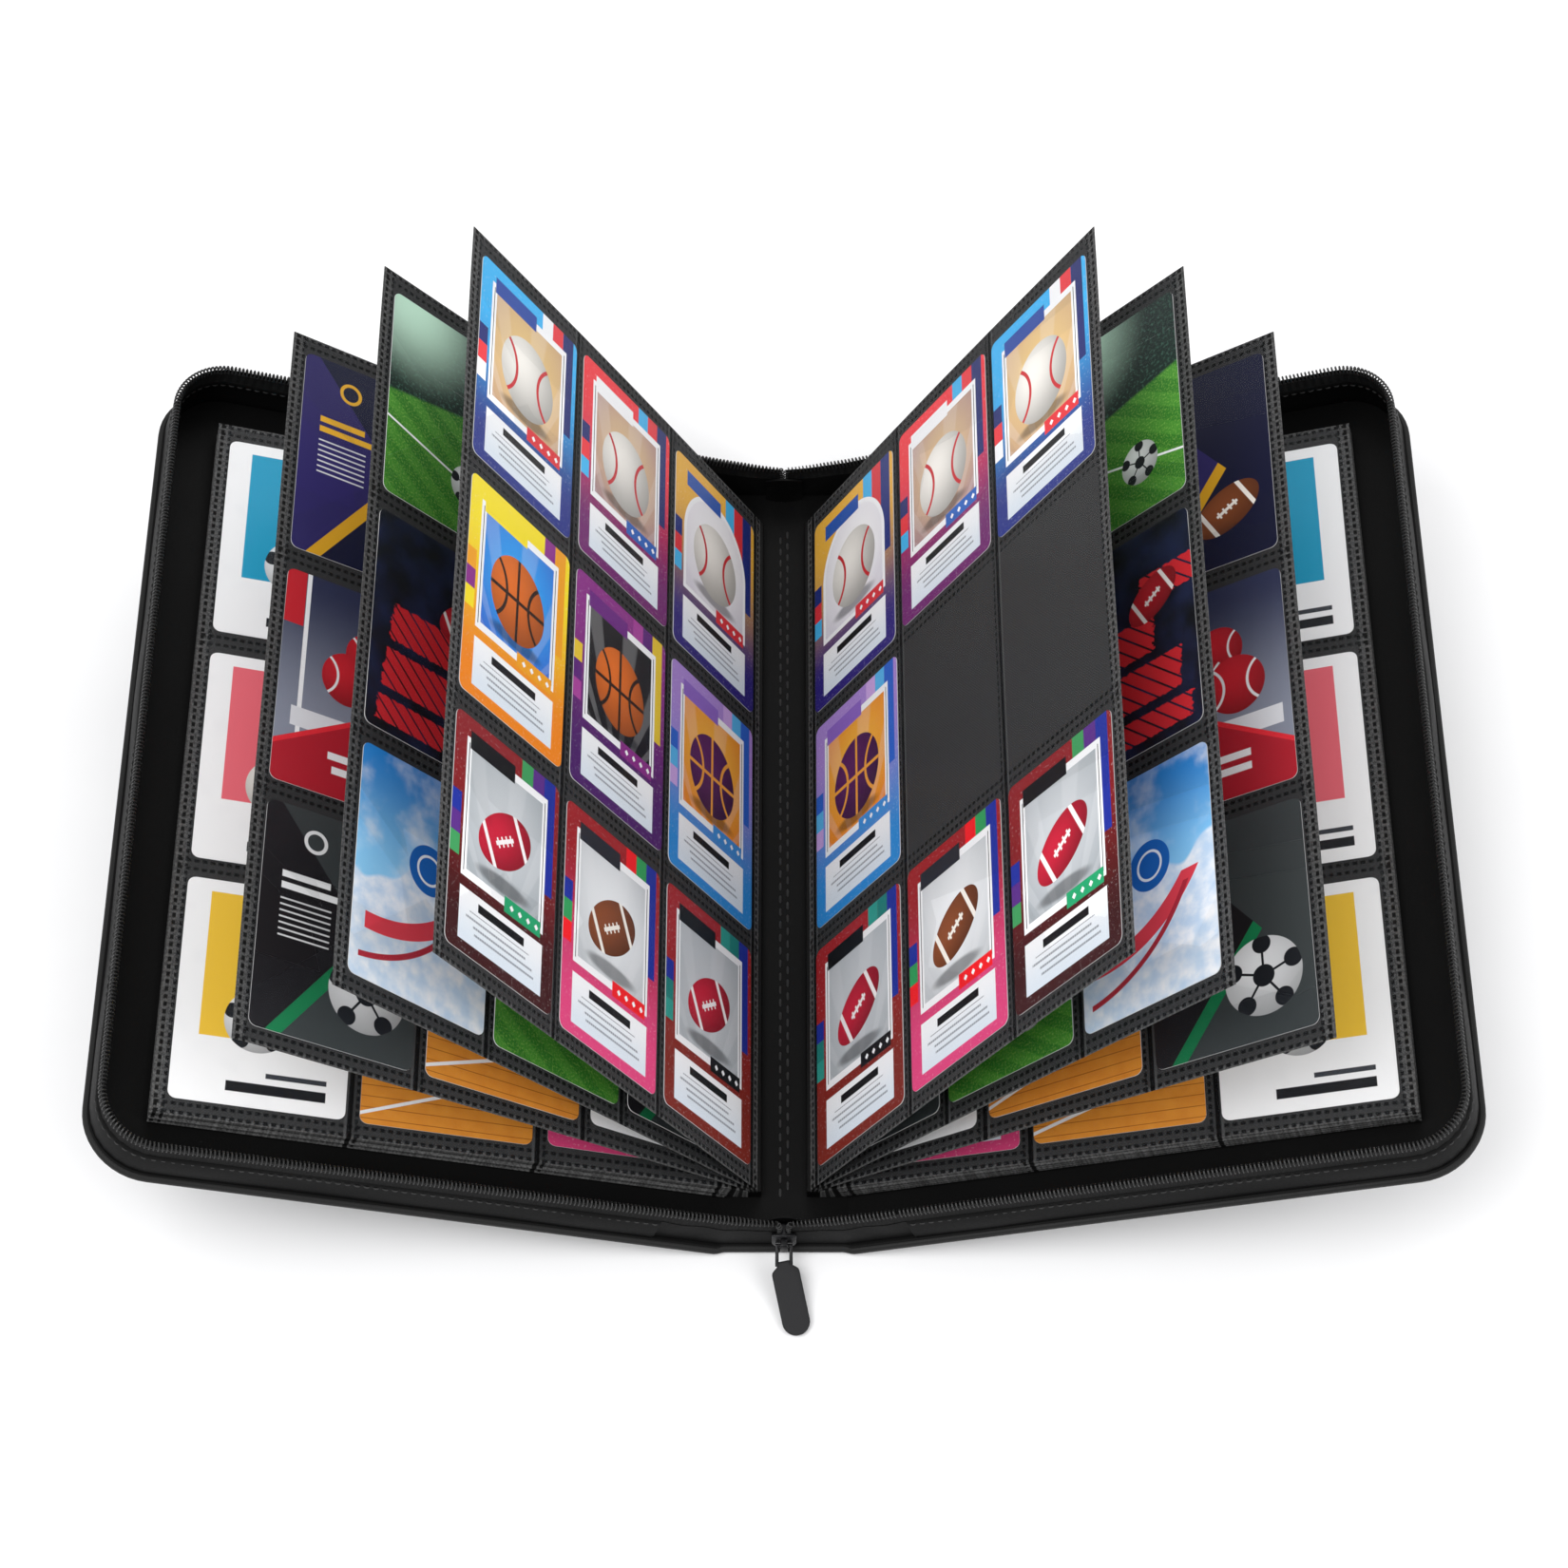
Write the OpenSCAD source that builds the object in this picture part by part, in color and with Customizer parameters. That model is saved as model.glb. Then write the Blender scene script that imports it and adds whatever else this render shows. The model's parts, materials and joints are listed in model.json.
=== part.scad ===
// Zip-around trading card binder, standing open on its spine with its leaves fanned.
// X runs across the spine, Y along it from tail to head, and Z is up.
// The origin is the middle of the spine's resting face. The front cover is on the -X side.

/* [Cards] */
// Width of a card
card_w = 63.5; // [60:0.5:65]
// Height of a card
card_h = 88.9; // [86:0.1:90]
// Corner radius of a card
card_r = 3; // [1:0.5:5]

/* [Leaves] */
// Distance from one column of pockets to the next
column_pitch = 69; // [68.5:0.5:70]
// Distance from one row of pockets to the next
row_pitch = 97.5; // [96:0.5:98]
// Plain margin of a leaf outside its pockets
leaf_margin = 3; // [2:0.5:4]
// Leaves lying under the top leaf in each cover
tray_leaves = 6; // [3:1:6]

/* [Covers] */
// Width of a cover, from its fold line to its fore edge
cover_w = 234; // [230:1:245]
// Height of a cover, head to tail
cover_h = 342; // [336:1:350]
// Corner radius of a cover at its fore edge
cover_r = 25; // [20:1:30]
// Distance between the two fold lines
spine_w = 48; // [48:1:52]

/* [Zip] */
// Height of the leather wall that carries the zip
gusset_h = 12.6; // [10:0.2:13]
// Length of the puller tab
tab_len = 26; // [22:1:27]
// Width of the puller tab
tab_w = 9.5; // [8:0.5:11]

/* [Hidden] */

$fn = 48;
eps = 0.01;
front = -1;
back = 1;
head = 1;
tail = -1;

// A cover is board between an outer skin and an inner lining.
skin_t = 0.8;
lining_t = 0.6;
cover_t = 3.8;
skin_lip = 2;
fold_z = cover_t / 2;
fold_x = spine_w / 2;
fold_gap = 0.4;
fold_r = 1.8;

// The covers stand this far above flat, and fold through fold_close to shut.
cover_rest = 18;
fold_close = 90 - cover_rest;

// A loaded leaf is a black sheet with a card and a film on each face.
columns = 3;
rows = 3;
sheet_t = 0.3;
card_t = 0.3;
film_t = 0.1;
leaf_t = sheet_t + 2 * (card_t + film_t);
leaf_w = columns * column_pitch + 2 * leaf_margin;
leaf_h = rows * row_pitch + 2 * leaf_margin;
pocket_w = column_pitch - 2.5;
pocket_h = row_pitch - 4.5;
slit_w = 1.5;
leaf_root = 0.6;
bead_r = 0.3;
stack_bead_r = 0.4;

// The leaves in a cover turn as one, about a line just above the fold.
stack_inset = 2.5;
stack_x = fold_x - stack_inset;
stack_z = fold_z + stack_inset;
stack_t = (tray_leaves + 1) * leaf_t;

// Leaves 1 to 3 fan out above the stack, leaf 1 nearest the middle.
// Each follows its cover by its own ratio, so that all stand upright when the binder is shut.
leaf_ratio = [0, 0.4, 0.55, 0.75, 1];
leaf_pitch = leaf_t + 0.4;
fan_z = 10;
function fan_x(i) = stack_x - stack_t - leaf_pitch / 2 - 0.2 - (3 - i) * leaf_pitch;
function leaf_angle(i) = 90 - leaf_ratio[i] * fold_close;

binding_x = fan_x(1) - leaf_pitch;
binding_w = fan_x(3) + 0.35 - binding_x;
binding_top = 9;

// The zip wall stands on the cover, inset from its edge, and tapers to nothing beside the fold.
wall_inset = 3;
wall_t = 1.6;
wall_start = 26;
web_start = 6;
web_low = 3;
tape_t = 0.9;
tape_h = 7;
teeth_t = 2.6;
teeth_h = 2.2;
wall_top = fold_z + gusset_h;
tape_top = wall_top + tape_h;
wall_y = cover_h / 2 - wall_inset - wall_t / 2;

// The zip's joined end is a panel between the walls, with a slot above the slider.
panel_w = 36;
panel_top_w = 8.2;
panel_shoulder = 7.5;
panel_top = 24;
slot_w = 2.6;
slot_z = 11;

// The slider straddles the tail panel.
slider_z = 5;
slider_h = 10.5;
slider_w = 9;
plate_t = 1.4;
plate_gap = 2.4;
plate_y = wall_y + plate_gap / 2;
bridge_h = 2.8;
bridge_w = 2.6;
bridge_z = 7;
bridge_len = 6.5;
pivot_y = plate_y + plate_t + 0.9;
pivot_z = 9.1;
pin_r = 0.65;
link_len = 7;
link_w = 6.4;
tab_t = 2.2;
puller_droop = 14.3;
tab_skew = 12;

stitch_pitch = 6;
stitch_len = 4.2;
stitch_w = 0.7;
stitch_t = 0.3;
stitch_inset = 5;
seam_pitch = 8;
seam_len = 5;

// Leaf faces with empty pockets: [side, leaf, column, row].
empty_pockets = [[back, 1, 1, 1], [back, 1, 2, 1]];

leather = [0.09, 0.09, 0.095];
lining_black = [0.05, 0.05, 0.055];
board_grey = [0.55, 0.5, 0.43];
sheet_black = [0.17, 0.17, 0.175];
film_grey = [0.5, 0.52, 0.55, 0.35];
metal_black = [0.14, 0.14, 0.145];
thread_black = [0.03, 0.03, 0.03];
card_colours = [[0.16, 0.42, 0.78], [0.85, 0.2, 0.22], [0.93, 0.68, 0.2], [0.9, 0.9, 0.92]];

// Places a right-hand shape on the front side or the back side.
module on_side(side) {
    mirror([side == front ? 1 : 0, 0, 0]) children();
}

// Turns a flat shape that lies along +X up about a line along Y.
module raised(x, z, angle) {
    translate([x, 0, z]) rotate([0, -angle, 0]) children();
}

module on_cover(side) {
    on_side(side) raised(fold_x, fold_z, cover_rest) children();
}

module on_leaf(side, i) {
    x = i == 4 ? stack_x : fan_x(i);
    z = i == 4 ? stack_z : fan_z;
    lift = i == 4 ? stack_t - leaf_t / 2 : 0;
    on_side(side) raised(x, z, leaf_angle(i)) translate([0, 0, lift]) children();
}

// Outline of a cover, square at the fold and round at the fore edge.
module cover_outline(inset, start) {
    r = cover_r - inset;
    half_h = cover_h / 2 - inset;
    end = cover_w - inset;
    translate([start, -half_h]) square([end - r - start, 2 * half_h]);
    translate([start, r - half_h]) square([end - start, 2 * (half_h - r)]);
    for (y = [head, tail]) {
        translate([end - r, y * (half_h - r)]) circle(r);
    }
}

module cover_layer(inset, start, low, high) {
    translate([0, 0, low]) linear_extrude(high - low) cover_outline(inset, start);
}

// A band that follows the head, the fore edge and the tail.
module cover_band(inset, thick, start, low, high) {
    difference() {
        cover_layer(inset, start, low, high);
        cover_layer(inset + thick, start - 1, low - 1, high + 1);
    }
}

module cover_board(side) {
    color(board_grey) on_cover(side)
        cover_layer(skin_lip, fold_z, skin_t - fold_z, fold_z - lining_t);
}

// The skin lies under the board, turns up round its edge and rolls over at the fold.
module cover_skin(side) {
    color(leather) on_cover(side) {
        cover_layer(0, 0, -fold_z, skin_t - fold_z);
        cover_band(0, skin_lip, fold_z, skin_t - fold_z - eps, fold_z - lining_t);
        translate([0, cover_h / 2, 0]) rotate([90, 0, 0]) cylinder(h = cover_h, r = fold_r);
    }
}

module cover_lining(side) {
    color(lining_black) on_cover(side)
        cover_layer(0, fold_z, fold_z - lining_t, fold_z);
}

module cover_gusset(side) {
    web = [
        [web_start, fold_z], [wall_start + eps, fold_z],
        [wall_start + eps, tape_top], [web_start, fold_z + web_low]
    ];
    color(leather) on_cover(side) {
        cover_band(wall_inset, wall_t, wall_start, fold_z, wall_top);
        for (y = [head, tail]) {
            translate([0, y * wall_y + wall_t / 2, 0])
                rotate([90, 0, 0]) linear_extrude(wall_t) polygon(web);
        }
    }
}

module zip_tape(side) {
    inset = wall_inset + (wall_t - tape_t) / 2;
    color(lining_black) on_cover(side)
        cover_band(inset, tape_t, wall_start + 0.1, wall_top, tape_top);
}

module zip_teeth(side) {
    inset = wall_inset + (wall_t - teeth_t) / 2;
    color(metal_black) on_cover(side)
        cover_band(inset, teeth_t, wall_start + 0.1, tape_top, tape_top + teeth_h);
}

module stitch(length) {
    translate([-length / 2, -stitch_w / 2, 0]) cube([length, stitch_w, stitch_t]);
}

// Stitches round the outside of a cover, in straight runs and round the two corners.
module cover_stitching(side) {
    r = cover_r - stitch_inset;
    run_x = cover_w - cover_r;
    run_y = cover_h / 2 - cover_r;
    turn = stitch_pitch / r * 180 / PI;
    color(thread_black) on_cover(side) translate([0, 0, -fold_z - stitch_t]) {
        for (end = [head, tail]) {
            for (x = [stitch_pitch * 1.5 : stitch_pitch : run_x - stitch_len / 2]) {
                translate([x, end * (cover_h / 2 - stitch_inset), 0]) stitch(stitch_len);
            }
            for (a = [turn / 2 : turn : 90]) {
                translate([run_x, end * run_y, 0]) rotate([0, 0, end * a])
                    translate([r, 0, 0]) rotate([0, 0, 90]) stitch(stitch_len);
            }
        }
        for (y = [stitch_pitch / 2 - run_y : stitch_pitch : run_y]) {
            translate([cover_w - stitch_inset, y, 0]) rotate([0, 0, 90]) stitch(stitch_len);
        }
    }
}

// The spine's own board, skin and lining, each short of the folds.
spine_half = fold_x - fold_z - fold_gap;
spine_len = cover_h - 2;

module spine_layer(half_w, length, low, high) {
    translate([-half_w, -length / 2, low]) cube([2 * half_w, length, high - low]);
}

module spine_board() {
    color(board_grey)
        spine_layer(spine_half - 1, spine_len - 2 * skin_lip, skin_t, cover_t - lining_t);
}

module spine_skin() {
    color(leather) {
        spine_layer(spine_half, spine_len, 0, skin_t);
        for (y = [head, tail]) {
            translate([-spine_half, y * (spine_len - skin_lip) / 2 - skin_lip / 2, skin_t - eps])
                cube([2 * spine_half, skin_lip, cover_t - lining_t - skin_t + eps]);
        }
    }
}

module spine_lining() {
    color(lining_black) spine_layer(spine_half, spine_len, cover_t - lining_t, cover_t);
}

// Double row of stitches down the gutter, which ties the lining to the board.
module spine_seam() {
    color(thread_black) {
        for (y = [-leaf_h / 2 + seam_pitch : seam_pitch : leaf_h / 2 - seam_pitch]) {
            for (x = [-1, 1]) {
                translate([x, y, cover_t]) rotate([0, 0, 90]) stitch(seam_len);
            }
        }
    }
}

// The strip that the roots of leaves 1 to 3 are sewn into.
module leaf_binding(side) {
    color(sheet_black) on_side(side)
        translate([binding_x, -leaf_h / 2, cover_t])
            cube([binding_w, leaf_h, binding_top - cover_t]);
}

module end_panel(end) {
    outline = [
        [-panel_w / 2, cover_t], [panel_w / 2, cover_t], [panel_w / 2, panel_shoulder],
        [panel_top_w / 2, panel_top], [-panel_top_w / 2, panel_top], [-panel_w / 2, panel_shoulder]
    ];
    color(lining_black) translate([0, end * wall_y + wall_t / 2, 0]) rotate([90, 0, 0])
        linear_extrude(wall_t) difference() {
            polygon(outline);
            translate([-slot_w / 2, slot_z]) square([slot_w, panel_top]);
        }
}

// A pressed stop on each face of the panel.
module zip_stop(end) {
    stop = [4.4, 1.1, 0.9];
    color(metal_black) for (face = [-1, 1]) {
        y = end * wall_y + face * (wall_t + stop[1]) / 2;
        translate([-stop[0] / 2, y - stop[1] / 2, cover_t]) cube(stop);
    }
}

// Slider: two plates with rounded ends, joined by a neck in the slot.
module slider_plate() {
    r = slider_w / 2;
    rotate([90, 0, 0]) linear_extrude(plate_t) {
        translate([-r, r]) square([slider_w, slider_h - r]);
        translate([0, r]) circle(r);
    }
}

module slider_body() {
    neck = [1.6, plate_gap + 2 * eps, 2.8];
    color(metal_black) translate([0, -wall_y, slider_z]) {
        translate([0, -plate_gap / 2, 0]) slider_plate();
        translate([0, plate_gap / 2 + plate_t, 0]) slider_plate();
        translate([-neck[0] / 2, -neck[1] / 2, slider_h - neck[2]]) cube(neck);
    }
}

// The bridge is an arch on the outer plate, with the puller's link under it.
module slider_bridge() {
    foot = 1.1;
    color(metal_black) translate([-bridge_w / 2, -plate_y - plate_t - bridge_h, bridge_z])
        difference() {
            cube([bridge_w, bridge_h, bridge_len]);
            translate([-1, 1, foot]) cube([bridge_w + 2, bridge_h, bridge_len - 2 * foot]);
        }
}

// The puller hangs from the bridge, towards -Y and down to the table.
module on_puller() {
    translate([0, -pivot_y, pivot_z]) rotate([puller_droop, 0, 0]) children();
}

module puller_link() {
    color(metal_black) on_puller() {
        for (y = [0, -link_len]) {
            translate([-link_w / 2, y, 0]) rotate([0, 90, 0]) cylinder(h = link_w, r = pin_r);
        }
        for (x = [-1, 1]) {
            translate([x * (link_w / 2 - pin_r), 0, 0]) rotate([90, 0, 0])
                cylinder(h = link_len, r = pin_r);
        }
    }
}

// The tab's eye runs free on the far bar of the link.
module puller_tab() {
    r = tab_w / 2;
    eye_r = pin_r + 0.15;
    eye_w = 2.8;
    shoulder = 2;
    color(sheet_black) on_puller() translate([0, -link_len, 0]) difference() {
        rotate([0, 0, tab_skew]) translate([0, 0, -tab_t / 2]) linear_extrude(tab_t) {
            translate([-eye_w / 2, -tab_len / 2]) square([eye_w, tab_len / 2 + 1.4]);
            translate([-r, -tab_len + r]) square([tab_w, tab_len - r - shoulder]);
            translate([0, -tab_len + r]) circle(r);
        }
        translate([-tab_w, 0, 0]) rotate([0, 90, 0]) cylinder(h = 2 * tab_w, r = eye_r);
    }
}

// Middle of a pocket, counted from the root and from the tail.
function pocket_at(column, row) = [
    leaf_root + leaf_margin + (column + 0.5) * column_pitch,
    (row - (rows - 1) / 2) * row_pitch
];

module each_pocket() {
    for (column = [0 : columns - 1], row = [0 : rows - 1]) {
        $column = column;
        $row = row;
        translate(pocket_at(column, row)) children();
    }
}

module leaf_blank(low, high) {
    translate([leaf_root, -leaf_h / 2, low]) cube([leaf_w, leaf_h, high - low]);
}

// The black sheet ends in a bead that turns on the leaf's root line.
module leaf_sheet(side, i) {
    color(sheet_black) on_leaf(side, i) {
        leaf_blank(-sheet_t / 2, sheet_t / 2);
        if (i < 4) {
            translate([0, leaf_h / 2, 0]) rotate([90, 0, 0]) cylinder(h = leaf_h, r = bead_r);
            translate([0, -leaf_h / 2, -sheet_t / 2]) cube([leaf_root + eps, leaf_h, sheet_t]);
        }
    }
}

// One face of pockets: film welded to the sheet round each card, slit on the side nearer the root.
module pocket_face() {
    difference() {
        leaf_blank(sheet_t / 2, leaf_t / 2);
        each_pocket() {
            translate([-pocket_w / 2, -pocket_h / 2, 0]) cube([pocket_w, pocket_h, leaf_t / 2 - film_t]);
            translate([-pocket_w / 2, -pocket_h / 2, 0]) cube([slit_w, pocket_h, leaf_t]);
        }
    }
}

module leaf_pockets(side, i) {
    color(film_grey) on_leaf(side, i) {
        pocket_face();
        mirror([0, 0, 1]) pocket_face();
    }
}

corner_steps = 4;
function card_corner(x, y, start) = [
    for (k = [0 : corner_steps])
        let (a = start + 90 * k / corner_steps)
            [x * (card_w / 2 - card_r) + card_r * cos(a), y * (card_h / 2 - card_r) + card_r * sin(a)]
];

module card() {
    outline = concat(
        card_corner(1, 1, 0), card_corner(-1, 1, 90), card_corner(-1, -1, 180), card_corner(1, -1, 270)
    );
    linear_extrude(card_t) polygon(outline);
}

function is_empty(side, i, column, row) = len([
    for (p = empty_pockets) if (p == [side, i, column, row]) p
]) > 0;

// The face that looks up carries the empty pockets.
module leaf_cards(side, i) {
    color(card_colours[i - 1]) on_leaf(side, i) {
        each_pocket() {
            if (!is_empty(side, i, $column, $row)) translate([0, 0, sheet_t / 2]) card();
            translate([0, 0, -sheet_t / 2 - card_t]) card();
        }
    }
}

// The leaves under leaf 4, each a slab as thick as a loaded leaf less a little air.
// The lowest one carries the bead that the whole stack turns on.
module tray_leaves(side) {
    air = 0.1;
    color(sheet_black) on_side(side) raised(stack_x, stack_z, cover_rest) {
        for (k = [0 : tray_leaves - 1]) {
            leaf_blank(k * leaf_t + air / 2, (k + 1) * leaf_t - air / 2);
        }
        translate([0, leaf_h / 2, 0]) rotate([90, 0, 0]) cylinder(h = leaf_h, r = stack_bead_r);
        translate([0, -leaf_h / 2, air / 2]) cube([leaf_root + eps, leaf_h, sheet_t]);
    }
}

spine_board();
spine_skin();
spine_lining();
spine_seam();
leaf_binding(front);  // front_leaf_binding
leaf_binding(back);  // back_leaf_binding
end_panel(tail);  // tail_end_panel
end_panel(head);  // head_end_panel
zip_stop(tail);  // tail_zip_stop
zip_stop(head);  // head_zip_stop
slider_body();
slider_bridge();
puller_link();
puller_tab();
cover_board(front);  // front_board
cover_skin(front);  // front_skin
cover_lining(front);  // front_lining
cover_gusset(front);  // front_gusset
zip_tape(front);  // front_zip_tape
zip_teeth(front);  // front_zip_teeth
cover_stitching(front);  // front_edge_stitching
cover_board(back);  // back_board
cover_skin(back);  // back_skin
cover_lining(back);  // back_lining
cover_gusset(back);  // back_gusset
zip_tape(back);  // back_zip_tape
zip_teeth(back);  // back_zip_teeth
cover_stitching(back);  // back_edge_stitching
tray_leaves(front);  // front_tray_leaves
tray_leaves(back);  // back_tray_leaves
leaf_sheet(front, 1);  // front_leaf_1_sheet
leaf_pockets(front, 1);  // front_leaf_1_pockets
leaf_cards(front, 1);  // front_leaf_1_cards
leaf_sheet(front, 2);  // front_leaf_2_sheet
leaf_pockets(front, 2);  // front_leaf_2_pockets
leaf_cards(front, 2);  // front_leaf_2_cards
leaf_sheet(front, 3);  // front_leaf_3_sheet
leaf_pockets(front, 3);  // front_leaf_3_pockets
leaf_cards(front, 3);  // front_leaf_3_cards
leaf_sheet(front, 4);  // front_leaf_4_sheet
leaf_pockets(front, 4);  // front_leaf_4_pockets
leaf_cards(front, 4);  // front_leaf_4_cards
leaf_sheet(back, 1);  // back_leaf_1_sheet
leaf_pockets(back, 1);  // back_leaf_1_pockets
leaf_cards(back, 1);  // back_leaf_1_cards
leaf_sheet(back, 2);  // back_leaf_2_sheet
leaf_pockets(back, 2);  // back_leaf_2_pockets
leaf_cards(back, 2);  // back_leaf_2_cards
leaf_sheet(back, 3);  // back_leaf_3_sheet
leaf_pockets(back, 3);  // back_leaf_3_pockets
leaf_cards(back, 3);  // back_leaf_3_cards
leaf_sheet(back, 4);  // back_leaf_4_sheet
leaf_pockets(back, 4);  // back_leaf_4_pockets
leaf_cards(back, 4);  // back_leaf_4_cards
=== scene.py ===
import json
import math
import random

import bmesh
import bpy
import numpy as np
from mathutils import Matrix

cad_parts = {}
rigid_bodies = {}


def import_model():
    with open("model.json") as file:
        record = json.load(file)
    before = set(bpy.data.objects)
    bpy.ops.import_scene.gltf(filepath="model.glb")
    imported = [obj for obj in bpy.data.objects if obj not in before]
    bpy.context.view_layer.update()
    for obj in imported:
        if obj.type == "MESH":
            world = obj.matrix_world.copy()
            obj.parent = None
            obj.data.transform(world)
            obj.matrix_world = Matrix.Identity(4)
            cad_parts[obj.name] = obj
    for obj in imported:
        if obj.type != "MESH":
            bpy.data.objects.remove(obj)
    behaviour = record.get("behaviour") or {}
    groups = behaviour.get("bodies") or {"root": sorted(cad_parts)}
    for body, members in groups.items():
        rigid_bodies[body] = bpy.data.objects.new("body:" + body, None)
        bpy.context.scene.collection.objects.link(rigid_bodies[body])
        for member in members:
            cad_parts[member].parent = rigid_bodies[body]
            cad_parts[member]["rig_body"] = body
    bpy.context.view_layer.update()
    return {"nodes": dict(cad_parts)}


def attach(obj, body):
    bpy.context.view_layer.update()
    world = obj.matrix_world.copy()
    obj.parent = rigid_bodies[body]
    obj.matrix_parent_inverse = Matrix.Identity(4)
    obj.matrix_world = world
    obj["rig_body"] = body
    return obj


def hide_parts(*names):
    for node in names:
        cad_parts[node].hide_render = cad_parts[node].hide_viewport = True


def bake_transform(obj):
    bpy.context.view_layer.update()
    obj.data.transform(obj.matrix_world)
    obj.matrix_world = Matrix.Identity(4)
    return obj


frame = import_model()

nodes = frame["nodes"]


# The spine is a strip of grey board, wrapped outside in black leathercloth with a fine hatch
# pressed into it, and lined inside with smooth leathercloth. The wrap turns in over the board's
# ends, and the lining is glued over the turned edges.
MM = 0.001
SIDES = {"front": -1, "back": 1}
FOLD_X = 24
FOLD_Z = 1.9
REST = math.radians(18)
SPINE_EDGE = 20
LINING_TOP = 3.86
ARC = FOLD_Z * REST


class Sock:
    """A node's output. Arithmetic on it adds Math nodes, so that a finish reads as a formula."""

    def __init__(self, tree, out=None):
        self.tree = tree
        self.out = out

    def node(self, kind, sockets, out=0, **settings):
        """Adds a node: its settings first, then each socket's value or link."""
        made = self.tree.nodes.new(kind)
        for key, value in settings.items():
            setattr(made, key, value)
        for key, value in sockets.items():
            if isinstance(value, Sock):
                self.tree.links.new(value.out, made.inputs[key])
            else:
                made.inputs[key].default_value = value
        return Sock(self.tree, made.outputs[out] if made.outputs else None)

    def math(self, operation, *values):
        return self.node("ShaderNodeMath", dict(enumerate(values)), operation=operation)

    def __add__(self, other):
        return self.math("ADD", self, other)

    def __sub__(self, other):
        return self.math("SUBTRACT", self, other)

    def __rsub__(self, other):
        return self.math("SUBTRACT", other, self)

    def __mul__(self, other):
        return self.math("MULTIPLY", self, other)

    def __truediv__(self, other):
        return self.math("DIVIDE", self, other)

    def __pow__(self, other):
        return self.math("POWER", self, other)

    def __abs__(self):
        return self.math("ABSOLUTE", self)

    __radd__ = __add__
    __rmul__ = __mul__

    def sin(self):
        return self.math("SINE", self)

    def fract(self):
        return self.math("FRACT", self)

    def floor(self):
        return self.math("FLOOR", self)

    def most(self, other):
        return self.math("MAXIMUM", self, other)

    def step(self, low, high):
        """0 below low and 1 above high, with a smooth rise between them."""
        ends = {0: self, 1: low, 2: high}
        return self.node("ShaderNodeMapRange", ends, interpolation_type="SMOOTHSTEP")

    def within(self, size, soft=0.12):
        """1 where this distance is less than size."""
        return 1 - abs(self).step(size - soft, size + soft)

    def between(self, low, high):
        """The colour low where this mask is 0, and high where it is 1."""
        return self.node("ShaderNodeMix", {0: self, 6: low, 7: high}, out=2, data_type="RGBA")

    def split(self):
        parts = self.node("ShaderNodeSeparateXYZ", {0: self})
        return [Sock(self.tree, out) for out in parts.out.node.outputs]

    def noise(self, per_mm, detail=2):
        return self.node("ShaderNodeTexNoise", {"Vector": self, "Scale": per_mm, "Detail": detail})

    def relief(self):
        """The normal of a surface raised by this many millimetres."""
        return self.node("ShaderNodeBump", {"Height": self, "Distance": MM, "Strength": 1})


def finish(name, recipe):
    """A material from a recipe, which takes the place on a piece in mm and gives the shader's sockets."""
    made = bpy.data.materials.new(name)
    made.use_nodes = True
    made.node_tree.nodes.clear()
    place = Sock(made.node_tree).node("ShaderNodeUVMap", {}, uv_map="mm")
    shader = place.node("ShaderNodeBsdfPrincipled", recipe(place))
    place.node("ShaderNodeOutputMaterial", {"Surface": shader})
    return made


def ink(code):
    """A colour from its six-figure code."""
    parts = [int(code[k:k + 2], 16) / 255 for k in (0, 2, 4)]
    return (*[((p + 0.055) / 1.055) ** 2.4 if p > 0.04 else p / 12.92 for p in parts], 1)


def hatched_leather(place):
    """Black leathercloth pressed with a fine woven hatch, a little greyer where it has been handled."""
    u, v, _ = place.split()
    turn = math.tau / 1.7
    hatch = ((u + v) * turn).sin() * ((u - v) * turn).sin()
    grain = place.noise(1.6, 3)
    handled = place.noise(0.012, 3)
    tone = handled * 0.004 + hatch * 0.001 + 0.0075
    return {
        "Base Color": tone,
        "Roughness": grain * 0.16 + 0.46 - hatch * 0.05,
        "Normal": (hatch * 0.028 + grain * 0.05).relief(),
        "Specular IOR Level": 0.2,
    }


def smooth_leather(place):
    """Satin black leathercloth with a soft fine grain."""
    grain = place.noise(0.9, 4)
    drift = place.noise(0.02, 2)
    return {
        "Base Color": drift * 0.002 + 0.0022,
        "Roughness": grain * 0.18 + 0.42,
        "Normal": (grain * 0.06 + drift * 0.6).relief(),
        "Specular IOR Level": 0.07,
    }


def grey_board(place):
    """Pressed grey board, flecked with fibres."""
    fleck = place.noise(0.8, 5)
    return {
        "Base Color": fleck.step(0.35, 0.7).between(ink("8b8479"), ink("a79f92")),
        "Roughness": 0.9,
        "Normal": (fleck * 0.1).relief(),
    }


HATCHED = finish("hatched_leathercloth", hatched_leather)
SMOOTH = finish("smooth_leathercloth", smooth_leather)
BOARD = finish("grey_board", grey_board)


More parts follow.
